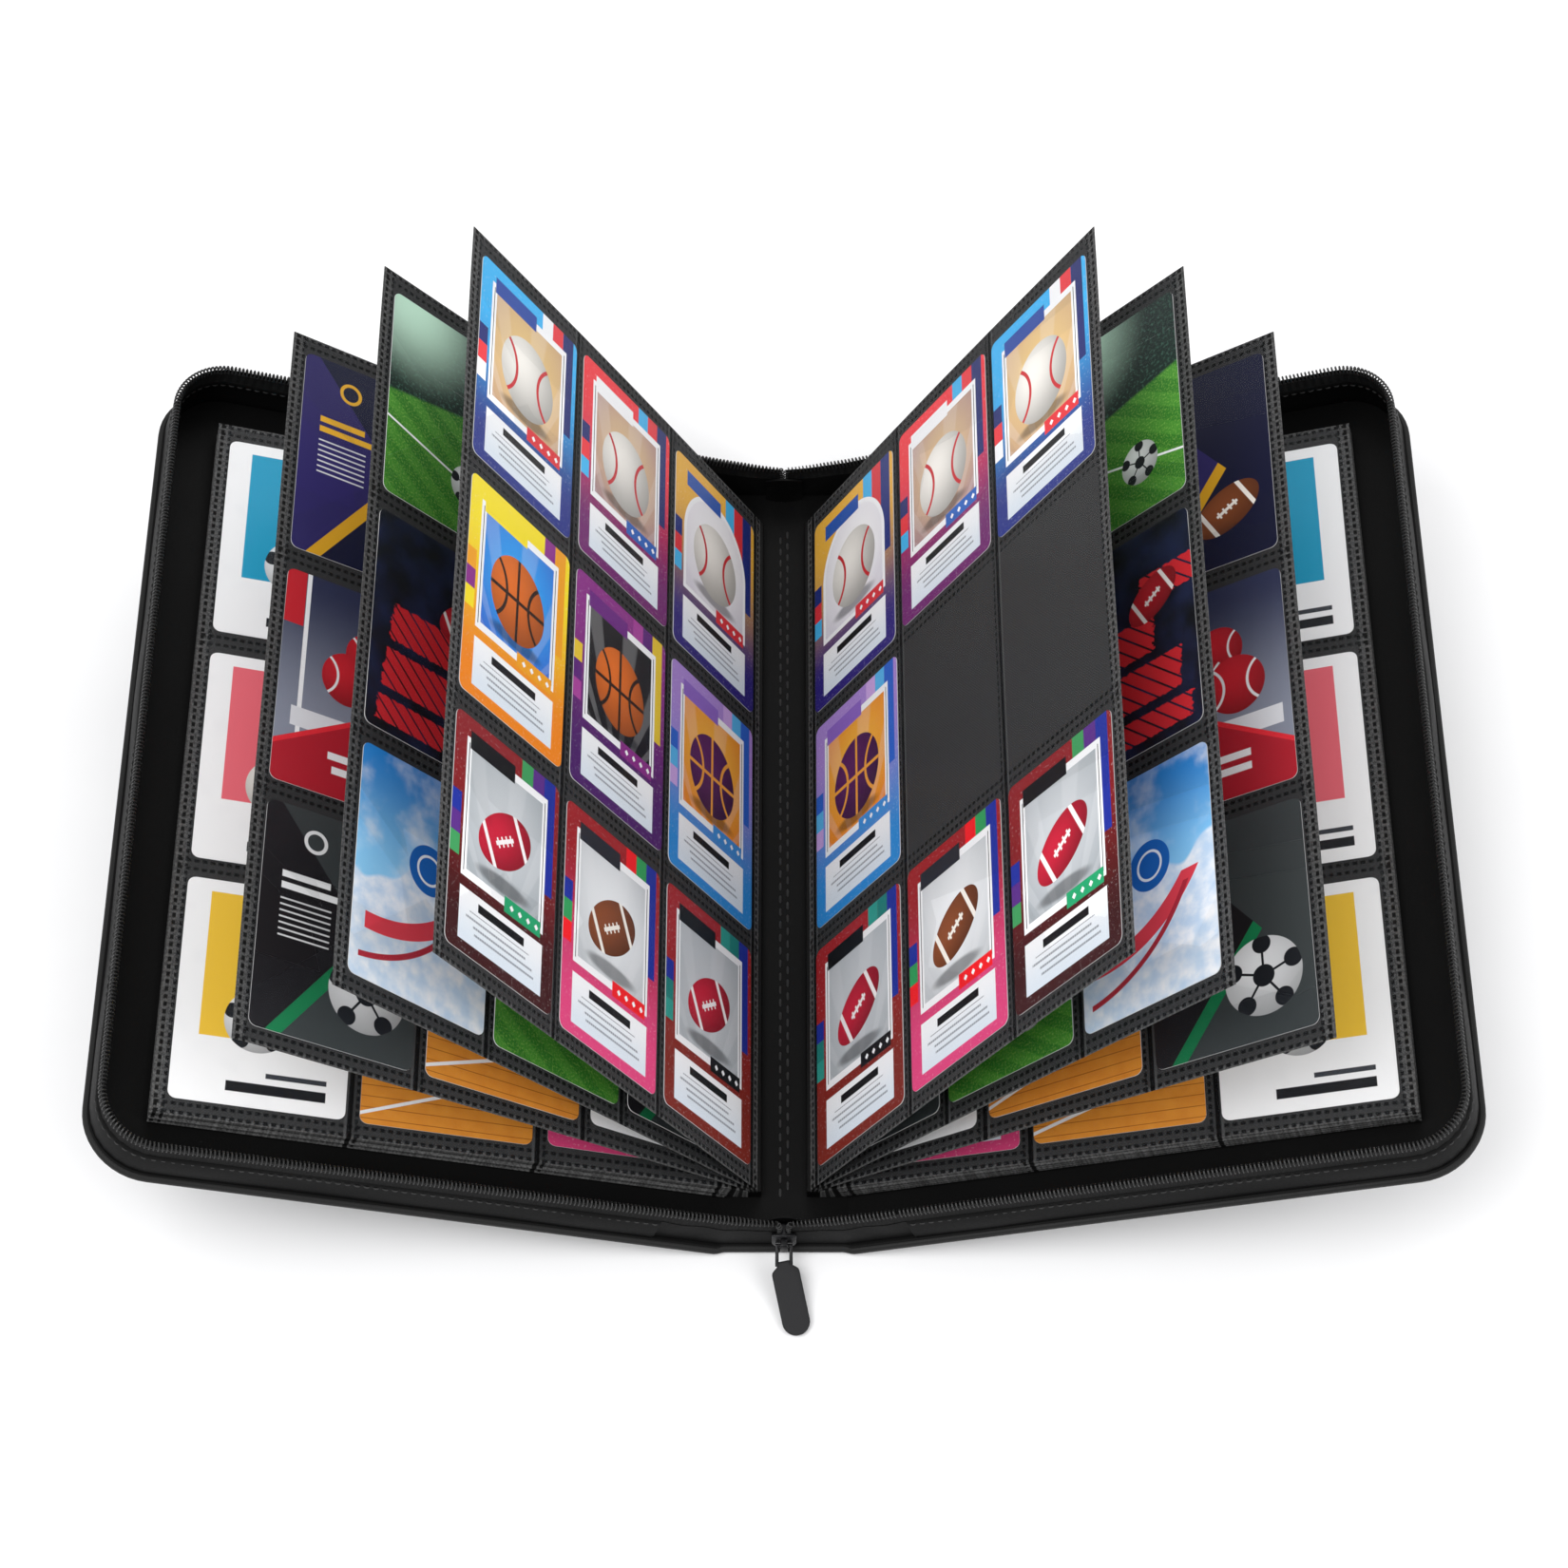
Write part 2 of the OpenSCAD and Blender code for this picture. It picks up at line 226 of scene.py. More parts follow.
def add_piece(name, parts, materials, painted=None, crease=40):
    """One object from parts, each its points in mm, its faces, and its points' places in the finish."""
    points, faces, spots = [], [], []
    for part_points, part_faces, part_spots in parts:
        faces += [[k + len(points) for k in face] for face in part_faces]
        points += part_points.reshape(-1, 3).tolist()
        spots += part_spots.reshape(-1, 2).tolist()
    mesh = bpy.data.meshes.new(name)
    mesh.from_pydata((np.array(points) * MM).tolist(), [], faces)
    corners = np.empty(len(mesh.loops), np.int32)
    mesh.loops.foreach_get("vertex_index", corners)
    layer = mesh.uv_layers.new(name="mm")
    layer.data.foreach_set("uv", np.array(spots, np.float32)[corners].ravel())
    for material in materials:
        mesh.materials.append(material)
    if painted is not None:
        mesh.polygons.foreach_set("material_index", painted)
    outward = bmesh.new()
    outward.from_mesh(mesh)
    bmesh.ops.recalc_face_normals(outward, faces=outward.faces)
    outward.to_mesh(mesh)
    outward.free()
    mesh.shade_smooth()
    mesh.set_sharp_from_angle(angle=math.radians(crease))
    made = bpy.data.objects.new(name, mesh)
    bpy.context.scene.collection.objects.link(made)
    return made


def tube(rings, spots, strips=False):
    """A closed tube through rings of points. Its ends are flat, or strips across a ring's two halves."""
    stations, around = rings.shape[:2]
    index = np.arange(stations * around).reshape(stations, around)
    turned = np.roll(index, -1, axis=1)
    faces = np.stack([index[:-1], turned[:-1], turned[1:], index[1:]], -1).reshape(-1, 4).tolist()
    for end in (index[0], index[-1]):
        if strips:
            low, high = end[:around // 2], end[around // 2:][::-1]
            faces += np.stack([low[:-1], low[1:], high[1:], high[:-1]], -1).tolist()
        else:
            faces.append(end.tolist())
    return rings, faces, spots


def across(out, depth):
    """x and z in mm, at a distance out from the fold line and a depth in from the outside."""
    turn = np.clip(np.asarray(out, float) / FOLD_Z, 0, REST)
    past = out - turn * FOLD_Z
    x = FOLD_X + past * np.cos(turn) + (FOLD_Z - depth) * np.sin(turn)
    z = FOLD_Z + past * np.sin(turn) - (FOLD_Z - depth) * np.cos(turn)
    return x, z


SEAM_OUT = 13
GROOVE_DEEP, GROOVE_WIDE = 0.45, 2.2
SEAM_DEEP, SEAM_WIDE = 0.22, 0.9


def dip(out):
    """How far the outside is pressed in: along the fold, and along the stitched line beside it."""
    groove = GROOVE_DEEP * np.exp(-((out - 0.3) / GROOVE_WIDE) ** 2)
    return groove + SEAM_DEEP * np.exp(-((out - SEAM_OUT) / SEAM_WIDE) ** 2)


WRAP_EDGE = [
    (9, 0), (6, 0), (5.4, 0.07), (5, 0.22), (4.6, 0.07), (4, 0), (1.8, 0), (0.9, 0.18), (0.3, 0.65),
    (0, 1.5), (0, 2.3), (0.3, 3), (0.9, 3.4), (2.6, 3.4), (2.6, 2.4)
]
LINING_EDGE = [(1.5, 3.3), (1.5, 3.6), (1.7, 3.78), (2.3, LINING_TOP), (6, LINING_TOP)]
COVER_W, COVER_H, COVER_R = 234, 342, 25


def cover_layer(side, edge, outs, round_end):
    """A layer of a cover or the spine, which follows the list edge of (inset, depth) all round."""
    inset, depth = np.array(edge, float).T
    out = np.repeat(np.array(outs, float)[:, None], len(edge), 1)
    # The spine is 1 mm shorter than the covers at each end.
    half = COVER_H / 2 - 1 + np.clip((out + 2) / 4, 0, 1)
    along = half - inset
    if round_end:
        angle = np.radians(np.linspace(7.5, 90, 12))[:, None]
        reach = COVER_R - inset
        out = np.concatenate([out, ARC + COVER_W - COVER_R + reach * np.sin(angle)])
        along = np.concatenate([along, COVER_H / 2 - COVER_R + reach * np.cos(angle)])
    pressed = np.where(depth < 0.3, dip(out), 0) + depth
    x, z = across(out, pressed)
    tail = np.stack([side * x, -along, z], -1)
    head = np.stack([side * x, along, z], -1)[:, ::-1]
    low = np.stack([out, -along - depth], -1)
    high = np.stack([out, along + depth], -1)[:, ::-1]
    return tube(np.concatenate([tail, head], 1), np.concatenate([low, high], 1), strips=True)


spine_outs = [-FOLD_X - SPINE_EDGE, -36, -30, -24, -18, -12, -8, SPINE_EDGE - FOLD_X]
spine_wrap = add_piece("spine_wrap", [cover_layer(1, WRAP_EDGE, spine_outs, False)], [HATCHED])
spine_inner = add_piece("spine_inner_lining", [cover_layer(1, LINING_EDGE, spine_outs, False)], [SMOOTH])
for piece, node, slot in (
    (spine_wrap, "spine_skin", "leather"), (spine_inner, "spine_lining", "lining")
):
    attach(piece, "spine")
    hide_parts(node)


# Each cover is a board in the same wrap, round at its two fore-edge corners. Wrap and lining run on
# over the fold to the spine without a break, so both are one piece that bends there.
cover_outs = [SPINE_EDGE - FOLD_X, -3.2, -2.4, -1.6, -0.8, 0, 0.2, 0.4, ARC, 1.4, 2.2, 3, 3.8, 5.5, 8, 11]
cover_outs += [12, 12.6, SEAM_OUT, 13.4, 14, 15, 20, 50, 100, 150, 190, ARC + COVER_W - COVER_R]
BEND_FROM, BEND_TO = -3.4, 3.8


def place_on(side, out, along, depth):
    """Points in mm from the distance out over the outside, the place along Y and the depth in."""
    x, z = across(np.asarray(out, float), np.asarray(depth, float))
    return np.stack(np.broadcast_arrays(side * x, np.asarray(along, float), z), -1)


def bend_at_fold(piece, name, start=BEND_FROM, end=BEND_TO):
    """Bakes a piece's placement into its points; the points at start and end out from the fold line are
    worked out but not used.
    """
    low, high = place_on(SIDES[name], [start, end], 0, FOLD_Z) * MM
    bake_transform(piece)


for name, side in SIDES.items():
    wrap = add_piece(f"{name}_cover_wrap", [cover_layer(side, WRAP_EDGE, cover_outs, True)], [HATCHED])
    inner = add_piece(f"{name}_cover_lining", [cover_layer(side, LINING_EDGE, cover_outs, True)], [SMOOTH])
    for piece, node, slot in ((wrap, "skin", "leather"), (inner, "lining", "lining")):
        bend_at_fold(piece, name)
        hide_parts(f"{name}_{node}")


# Black waxed thread: a row round each cover's edge and one beside the fold hold the wrap, and a
# double row down the gutter holds the spine's lining. Each stitch is a short, plump loop of thread.
def waxed_thread(place):
    """Twisted black thread."""
    u, v, _ = place.split()
    twist = ((u + v * 1.5) * (math.tau / 0.6)).sin()
    return {
        "Base Color": twist * 0.006 + 0.016,
        "Roughness": 0.5,
        "Normal": (twist * 0.04).relief(),
    }


THREAD = finish("waxed_thread", waxed_thread)
STITCH_PITCH = 4.2
STITCH_LEN = 2.9
STITCH_R = 0.34


def stitch(middle, run, lift, length=STITCH_LEN, radius=STITCH_R):
    """A stitch at a point, along the direction run and standing up along the direction lift."""
    rise = np.cross(run, lift)
    rings, spots = [], []
    for t in np.linspace(-1, 1, 7):
        fat = radius * math.sqrt(max(0.06, 1 - t ** 4))
        centre = middle + run * (t * length / 2) + lift * (radius * 0.9 * (1 - t * t) - radius * 0.5)
        for a in np.arange(0, 6) * math.tau / 6:
            rings.append(centre + rise * (fat * math.cos(a)) + lift * (fat * math.sin(a)))
            spots.append((t * length / 2, a * radius))
    return tube(np.array(rings).reshape(7, 6, 3), np.array(spots).reshape(7, 6, 2))


def edge_run(inset, start, pitch):
    """Points (out, along) and directions at an even pitch round a cover's edge, from tail to head."""
    r = COVER_R - inset
    straight = COVER_W - COVER_R - start
    fore = COVER_H - 2 * COVER_R
    total = 2 * straight + fore + math.pi * r
    places = []
    for s in np.linspace(0, total, int(total / pitch) + 1):
        if s > total / 2:
            u, v, du, dv = edge_place(total - s, r, straight, start, inset)
            places.append((u, -v, -du, dv))
        else:
            places.append(edge_place(s, r, straight, start, inset))
    return places


def edge_place(s, r, straight, start, inset):
    """The place and direction at a distance s along the tail half of a cover's edge."""
    corner_u, corner_v = COVER_W - COVER_R, COVER_R - COVER_H / 2
    if s <= straight:
        return start + s, inset - COVER_H / 2, 1, 0
    if s <= straight + math.pi * r / 2:
        a = (s - straight) / r
        return corner_u + r * math.sin(a), corner_v - r * math.cos(a), math.cos(a), math.sin(a)
    return COVER_W - inset, corner_v + s - straight - math.pi * r / 2, 0, 1


for name, side in SIDES.items():
    down = place_on(side, 50, 0, -1) - place_on(side, 50, 0, 0)
    outward = place_on(side, 51, 0, 0) - place_on(side, 50, 0, 0)
    along_y = np.array([0, 1, 0])
    stitches = []
    for u, v, du, dv in edge_run(5, 8, STITCH_PITCH):
        stitches.append(stitch(place_on(side, u + ARC, v, 0.16), outward * du + along_y * dv, down))
    for v in np.arange(-160, 161, STITCH_PITCH):
        stitches.append(stitch(place_on(side, SEAM_OUT, v, 0.16), along_y, down))
    seam = add_piece(f"{name}_cover_stitches", stitches, [THREAD])
    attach(seam, f"{name}_cover")
    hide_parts(f"{name}_edge_stitching")

gutter = []
for v in np.arange(-146, 147, 5.6):
    for x in (-1.4, 1.4):
        middle = np.array([x, v + x, LINING_TOP - 0.08])
        gutter.append(stitch(middle, np.array([0, 1, 0]), np.array([0, 0, 1]), length=4, radius=0.55))
gutter_seam = add_piece("gutter_stitches", gutter, [THREAD])
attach(gutter_seam, "spine")
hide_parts("spine_seam")


# A wall of soft leathercloth stands on each cover, just inside its edge. It is sewn to the lining,
# hemmed along its top, and bows out a little. A woven zip tape rises from the hem.
WALL_START, WALL_BASE, WALL_RISE = 26, 1.6, 20
WALL_STEP, WALL_WAVER, TAPE_WAVER = 5, 0.45, 0.15
WALL_SECTION = [
    (4.5, 1.6), (5, 2.4), (4.9, 4.6), (4.7, 8), (4.6, 11.6), (4.9, 13), (4.8, 14.2), (4.1, 15),
    (3.4, 15), (2.8, 14.2), (2.7, 13), (2.5, 11.6), (2.1, 8), (2, 4.6), (2.2, 2.4), (2.9, 1.6)
]
TAPE_TOP = 22
TAPE_SECTION = [
    (4.3, 14), (4.3, 17), (4.25, 20), (4.2, TAPE_TOP), (3.6, TAPE_TOP), (3.45, 20), (3.4, 17), (3.4, 14)
]


def zip_weave(place):
    """Black herringbone tape, with the two lines of machine stitches that hold the coil."""
    s, w, _ = place.split()
    lean = abs((s / 3.2).fract() - 0.5) * 3.2
    rib = ((w + lean) * (math.tau / 0.7)).sin()
    stitches = abs((s / 1.5).fract() - 0.5).within(0.3) * (w - 20.4).within(0.32)
    fuzz = place.noise(3, 2)
    return {
        "Base Color": rib * 0.003 + fuzz * 0.006 + stitches * 0.03 + 0.006,
        "Roughness": 0.72 - stitches * 0.3,
        "Normal": (rib * 0.12 + stitches * 0.25).relief(),
        "Specular IOR Level": 0.12,
    }


TAPE = finish("herringbone_tape", zip_weave)


def sweep(side, section, pitch, waver):
    """A band round the head, fore edge and tail of a cover, with a section of (inset, height)."""
    rings, spots = [], []
    middle = sum(inset for inset, _ in section) / len(section)
    girths = [0]
    for (a, b), (c, d) in zip(section, section[1:]):
        girths.append(girths[-1] + math.hypot(c - a, d - b))
    places = edge_run(middle, WALL_START, pitch)
    for k, (u, v, du, dv) in enumerate(places):
        soft = math.sin(k * 0.43) * 0.6 + math.sin(k * 0.17 + 1) * 0.9
        easing = min(1, k / 6, (len(places) - 1 - k) / 6)
        ring, spot = [], []
        for (inset, height), around in zip(section, girths):
            rise = (height - WALL_BASE) / WALL_RISE
            push = (inset - middle) - waver * soft * easing * math.sin(math.pi * min(1, rise * 1.3))
            ring.append(place_on(side, u - dv * push + ARC, v + du * push, height + FOLD_Z))
            # The weave is placed by height, so that its stitches show on both faces of the tape.
            spot.append((k * pitch, height if section is TAPE_SECTION else around))
        rings.append(ring)
        spots.append(spot)
    return tube(np.array(rings), np.array(spots))


for name, side in SIDES.items():
    wall = add_piece(f"{name}_wall", [sweep(side, WALL_SECTION, WALL_STEP, WALL_WAVER)], [SMOOTH])
    band = sweep(side, TAPE_SECTION, WALL_STEP, TAPE_WAVER)
    tape = add_piece(f"{name}_zip_tape_band", [band], [TAPE])
    for piece, node, slot in ((wall, "gusset", "leather"), (tape, "zip_tape", "zip_tape")):
        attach(piece, f"{name}_cover")
        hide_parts(f"{name}_{node}")


# The hem along the wall's top is held by a row of stitches that shows on both of its faces.
TAPE_INSET = 3.8
HEM_LIFT, HEM_PITCH, HEM_HALF = 13.1, 3.4, 1.12
for name, side in SIDES.items():
    outward = place_on(side, 51, 0, 0) - place_on(side, 50, 0, 0)
    hem = []
    for u, v, du, dv in edge_run(TAPE_INSET, WALL_START + 2, HEM_PITCH):
        run = outward * du + np.array([0, dv, 0])
        for face in (HEM_HALF, -HEM_HALF):
            out, along = u + dv * face + ARC, v - du * face
            square = outward * dv * face + np.array([0, -du * face, 0])
            square = square / np.linalg.norm(square)
            hem.append(stitch(place_on(side, out, along, HEM_LIFT + FOLD_Z), run, square, 2.3, 0.28))
    hem_row = add_piece(f"{name}_hem_stitches", hem, [THREAD])
    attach(hem_row, f"{name}_cover")


# Beside the spine the wall and its tape run on as soft cloth, down to the slot that the slider
# parks in. That stretch is sewn to the spine at one end and the cover at the other, and it folds up
# between them when the binder shuts.
ENDS = {"tail": -1, "head": 1}
PANEL_Y = 167.2
# Half the slot's width: the slider parks in it at the tail, and the coils meet in it at the head.
SLOT_EDGE = {-1: 1.5, 1: 0.25}
# The cloth's foot is sewn in just under the face of the lining, and its rim sags towards the slot.
FOOT_DEPTH, RIM_MIDDLE = 3.7, 20.5
CORNER_FROM, CORNER_TO = 5 - FOLD_X, WALL_START + ARC
CORNER_STEPS = 22


def corner_point(side, end, p, q, out_of_plane=0):
    """A point of the soft corner: p from the slot to the wall, and q from the lining to the rim."""
    slot = SLOT_EDGE[end]
    foot_out = slot - FOLD_X + p * (WALL_START + ARC + FOLD_X - slot)
    foot_x, foot_z = across(foot_out, FOOT_DEPTH)
    top_x, top_z = across(WALL_START + ARC, TAPE_TOP + FOLD_Z)
    slope = math.tan(REST)
    rim_x = slot + 0.4 + p * (top_x - slot - 0.4)
    straight_z = top_z - (top_x - rim_x) * slope
    rim_z = straight_z + (RIM_MIDDLE - (top_z - (top_x - slot) * slope)) * (1 - p) ** 3
    x = foot_x + (rim_x - foot_x) * q
    z = foot_z + (rim_z - foot_z) * q
    return np.array([side * x, end * (PANEL_Y + out_of_plane), z])


def corner_band(side, end, low, high, thick):
    """A strip of the soft corner between two heights, with shallow folds that fan from the fold line."""
    rings, spots = [], []
    for k in range(CORNER_STEPS + 1):
        p = k / CORNER_STEPS
        ring, spot = [], []
        for face in (1, -1):
            for q in np.linspace(low, high, 6)[::face]:
                ease = math.sin(math.pi * p) * max(0, p - 0.12)
                folds = (math.sin(p * 15 + q * 2) * 0.7 + 0.8) * ease * math.sin(math.pi * q * 0.9)
                bulge = face * thick / 2 * (1 - 0.25 * ((2 * q - low - high) / (high - low)) ** 4)
                ring.append(corner_point(side, end, p, q, folds + bulge))
                spot.append((p * 46, q * 22 if face == 1 else 24 + q * 22))
        rings.append(ring)
        spots.append(spot)
    return tube(np.array(rings), np.array(spots))


for end_name, end in ENDS.items():
    for name, side in SIDES.items():
        cloth = add_piece(f"{name}_{end_name}_corner", [corner_band(side, end, 0, 0.66, 1.7)], [SMOOTH])
        tape = add_piece(f"{name}_{end_name}_corner_tape", [corner_band(side, end, 0.62, 1, 0.9)], [TAPE])
        for piece, slot in ((cloth, "leather"), (tape, "zip_tape")):
            bend_at_fold(piece, name, CORNER_FROM, CORNER_TO)
        if name == "front":
            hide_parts(f"{end_name}_end_panel")


# A flap of lining cloth stands on the spine inside each end of the zip, so that the slider and the
# stops don't rub the leaves. It is 0.8 mm thick, with a rounded top.
GUARD_Y, GUARD_HALF, GUARD_TOP, GUARD_THICK = 163.6, 7.5, 19, 0.8
for end_name, end in ENDS.items():
    rings, spots = [], []
    for x in np.linspace(-GUARD_HALF, GUARD_HALF, 11):
        top = GUARD_TOP - 0.045 * x * x
        rings.append([
            [x, end * (GUARD_Y + face * GUARD_THICK / 2 + 0.02 * x * x), z]
            for face, zs in ((1, (FOOT_DEPTH, 9, 14, top)), (-1, (top, 14, 9, FOOT_DEPTH))) for z in zs
        ])
        spots.append([[x, k * 5] for k in range(8)])
    guard = add_piece(f"{end_name}_zip_guard", [tube(np.array(rings), np.array(spots))], [SMOOTH])
    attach(guard, "spine")


# The zip is a nylon coil, a row of small loops sewn to the rim of the tape. The two rows come
# together at the slot and run down to a crimped stop at the spine.
def nylon(place):
    """Polished black nylon."""
    haze = place.noise(0.6, 2)
    return {
        "Base Color": haze * 0.008 + 0.012,
        "Roughness": haze * 0.15 + 0.32,
        "Normal": (haze * 0.05).relief(),
        "Specular IOR Level": 0.3,
    }


COIL = finish("nylon_coil", nylon)
TOOTH_PITCH, COIL_LIFT = 1.5, 22.3
LOOP = [(-0.95, -1), (-1, 0), (-0.62, 0.85), (0, 1.15), (0.62, 0.85), (1, 0), (0.95, -1)]


def tooth(middle, run, lift, size=1.15, radius=0.42):
    """One loop of the coil: it wraps over the tape's rim, square to the direction run."""
    wide = np.cross(run, lift)
    rings = []
    for k, (a, b) in enumerate(LOOP):
        before, after = LOOP[max(0, k - 1)], LOOP[min(len(LOOP) - 1, k + 1)]
        head = np.array([after[0] - before[0], after[1] - before[1]])
        head = head / np.linalg.norm(head)
        centre = middle + wide * (a * size) + lift * (b * size) + run * (0.18 * a)
        outwards = wide * head[1] - lift * head[0]
        for t in np.arange(5) * math.tau / 5:
            rings.append(centre + outwards * (radius * math.cos(t)) + run * (radius * math.sin(t)))
    rings = np.array(rings).reshape(len(LOOP), 5, 3)
    return tube(rings, rings[..., :2] * 0.5)


# Half the gap between the two rows, where they run closed and where the slider parts them.
CLOSED, PARTED = 0.95, 1.9


def corner_line(side, end_name):
    """The coil's path from the wall over a soft corner, then down the slot to the stop."""
    gap = PARTED if end_name == "tail" else CLOSED
    downwards = ((gap, 18), (gap, 12), (CLOSED + (gap - CLOSED) / 4, 9), (CLOSED, 7.5), (CLOSED, 4.8))
    line = [corner_point(side, ENDS[end_name], p, 1) for p in np.linspace(1, 0.02, 60)]
    line += [np.array([side * x, ENDS[end_name] * PANEL_Y, z]) for x, z in downwards]
    return np.array(line)


def corner_loops(side, line):
    """Loops of the coil at an even pitch down a path, which grow smaller towards the stop."""
    loops = []
    steps = np.concatenate([[0], np.cumsum(np.linalg.norm(np.diff(line, axis=0), axis=1))])
    for s in np.arange(TOOTH_PITCH * (1.25 + side / 4), steps[-1], TOOTH_PITCH):
        here, ahead, behind = (
            np.array([np.interp(at, steps, line[:, k]) for k in range(3)]) for at in (s, s + 0.5, s - 0.5)
        )
        run = (ahead - behind) / np.linalg.norm(ahead - behind)
        up = np.cross(np.array([0, side, 0]), run)
        size = 1.15 - 0.35 * min(1, max(0, (s - 26) / 14))
        loops.append(tooth(here + up * 0.3 * size, run, up, size, 0.36 * size))
    return loops


for name, side in SIDES.items():
    lift = place_on(side, 50, 0, 1) - place_on(side, 50, 0, 0)
    outward = place_on(side, 51, 0, 0) - place_on(side, 50, 0, 0)
    loops = []
    for u, v, du, dv in edge_run(TAPE_INSET, WALL_START, TOOTH_PITCH):
        middle = place_on(side, u + ARC, v, COIL_LIFT + FOLD_Z)
        loops.append(tooth(middle, outward * du + np.array([0, dv, 0]), lift))
    coil = add_piece(f"{name}_coil", loops, [COIL])
    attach(coil, f"{name}_cover")
    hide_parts(f"{name}_zip_teeth")
    for end_name in ENDS:
        loops = corner_loops(side, corner_line(side, end_name))
        coil = add_piece(f"{name}_{end_name}_corner_coil", loops, [COIL])
        bend_at_fold(coil, name, CORNER_FROM, CORNER_TO)


# The slider and its bridge are cast metal under black enamel, the stops are crimped from the same
# metal, and the puller is a moulded rubber tab on a bent wire link. Their edges are rounded.
def enamel(place):
    """Black enamel on metal, thin and brighter where it has rubbed."""
    rub = place.noise(0.9, 4)
    return {
        "Base Color": rub.step(0.5, 0.8).between(ink("141416"), ink("2e2e31")),
        "Metallic": 0.55,
        "Roughness": rub * 0.25 + 0.2,
        "Normal": (rub * 0.02).relief(),
    }


def tab_rubber(place):
    """Matt dark grey rubber with a fine spark-eroded grain."""
    grain = place.noise(2.4, 3)
    return {
        "Base Color": grain.between(ink("19191a"), ink("252527")),
        "Roughness": grain * 0.2 + 0.5,
        "Normal": (grain * 0.12).relief(),
        "Specular IOR Level": 0.2,
    }


ENAMEL = finish("black_enamel", enamel)
RUBBER = finish("tab_rubber", tab_rubber)


def soften(node, name, material, width):
    """A copy of a CAD node with its edges rounded by a width in mm, mapped flat for its finish."""
    mesh = nodes[node].data.copy()
    mesh.materials.clear()
    mesh.materials.append(material)
    round_off = bmesh.new()
    round_off.from_mesh(mesh)
    bmesh.ops.remove_doubles(round_off, verts=round_off.verts, dist=0.00001)
    bmesh.ops.dissolve_limit(
        round_off, angle_limit=math.radians(1), verts=round_off.verts, edges=round_off.edges
    )
    sharp = [
        e for e in round_off.edges
        if len(e.link_faces) == 2 and e.calc_face_angle() > math.radians(40)
    ]
    bmesh.ops.bevel(
        round_off, geom=sharp, offset=width * MM, segments=3, profile=0.5, affect="EDGES",
        clamp_overlap=True
    )
    places = round_off.loops.layers.uv.new("mm")
    for face in round_off.faces:
        lean = [abs(x) for x in face.normal]
        flat = [k for k in range(3) if k != lean.index(max(lean))]
        for corner in face.loops:
            corner[places].uv = [corner.vert.co[k] / MM for k in flat]
    round_off.to_mesh(mesh)
    round_off.free()
    mesh.shade_smooth()
    mesh.set_sharp_from_angle(angle=math.radians(50))
    made = bpy.data.objects.new(name, mesh)
    bpy.context.scene.collection.objects.link(made)
    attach(made, nodes[node]["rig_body"])
    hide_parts(node)


for node, name, width in (
    ("slider_body", "slider_casting", 0.35),
    ("slider_bridge", "slider_arch", 0.35),
    ("puller_link", "puller_wire", 0.1),
    ("tail_zip_stop", "tail_crimped_stop", 0.2),
    ("head_zip_stop", "head_crimped_stop", 0.2)
):
    soften(node, name, ENAMEL, width)
for name in SIDES:
    soften(f"{name}_leaf_binding", f"{name}_binding_strip", SMOOTH, 0.5)

PIVOT_Y, PIVOT_Z, LINK_LEN = -170.7, 9.1, 7
DROOP, SKEW = math.radians(14.3), math.radians(12)
TAB_LEN, TAB_W, TAB_T, EYE_HALF = 26, 10.2, 2.2, 2.2


def on_puller(p, q, r):
    """A point in mm from the tab's own place: across it, along it from its eye, and out of its face."""
    x = p * math.cos(SKEW) - q * math.sin(SKEW)
    run = -LINK_LEN + p * math.sin(SKEW) + q * math.cos(SKEW)
    y = PIVOT_Y + run * math.cos(DROOP) - r * math.sin(DROOP)
    return [x, y, PIVOT_Z + run * math.sin(DROOP) + r * math.cos(DROOP)]


def tab_half(q):
    """Half the tab's width at a place along it: a narrow eye, sloped shoulders and a round end."""
    shoulder = min(1, max(0, (0.6 - q) / 3.4))
    wide = EYE_HALF + (TAB_W / 2 - EYE_HALF) * shoulder * shoulder * (3 - 2 * shoulder)
    past = max(0, -q - (TAB_LEN - TAB_W / 2)) / (TAB_W / 2)
    return wide * math.sqrt(max(0.0004, 1 - past * past))


rings, spots = [], []
tail_steps = TAB_W / 2 * np.sin(np.radians([0, 15, 30, 45, 57, 68, 78, 85, 89.5]))
lengths = [1.35, 1.1, 0.6, 0, -0.6, -1.4, -2.2, -3, -3.8, -7, -12, -17]
lengths += [-(TAB_LEN - TAB_W / 2) - step for step in tail_steps]
for q in lengths:
    half = tab_half(q)
    eye = 0.55 if q > 1.2 else 0.85 if q > 0.9 else 1
    rim = min(1, half / 1.2)
    ring, spot = [], []
    for k in range(20):
        a = math.tau * (k + 0.5) / 20
        across_tab = half * math.copysign(abs(math.cos(a)) ** 0.35, math.cos(a))
        dish = 0.18 * (1 - min(1, (across_tab / (half * 0.8)) ** 2)) if -23 < q < -5 else 0
        out_of_face = TAB_T / 2 * eye * rim * math.copysign(abs(math.sin(a)) ** 0.5, math.sin(a))
        ring.append(on_puller(across_tab, q, out_of_face * (1 - dish)))
        spot.append([across_tab, q])
    rings.append(ring)
    spots.append(spot)
tab = add_piece("puller_rubber_tab", [tube(np.array(rings), np.array(spots))], [RUBBER])
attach(tab, "puller")
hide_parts("puller_tab")


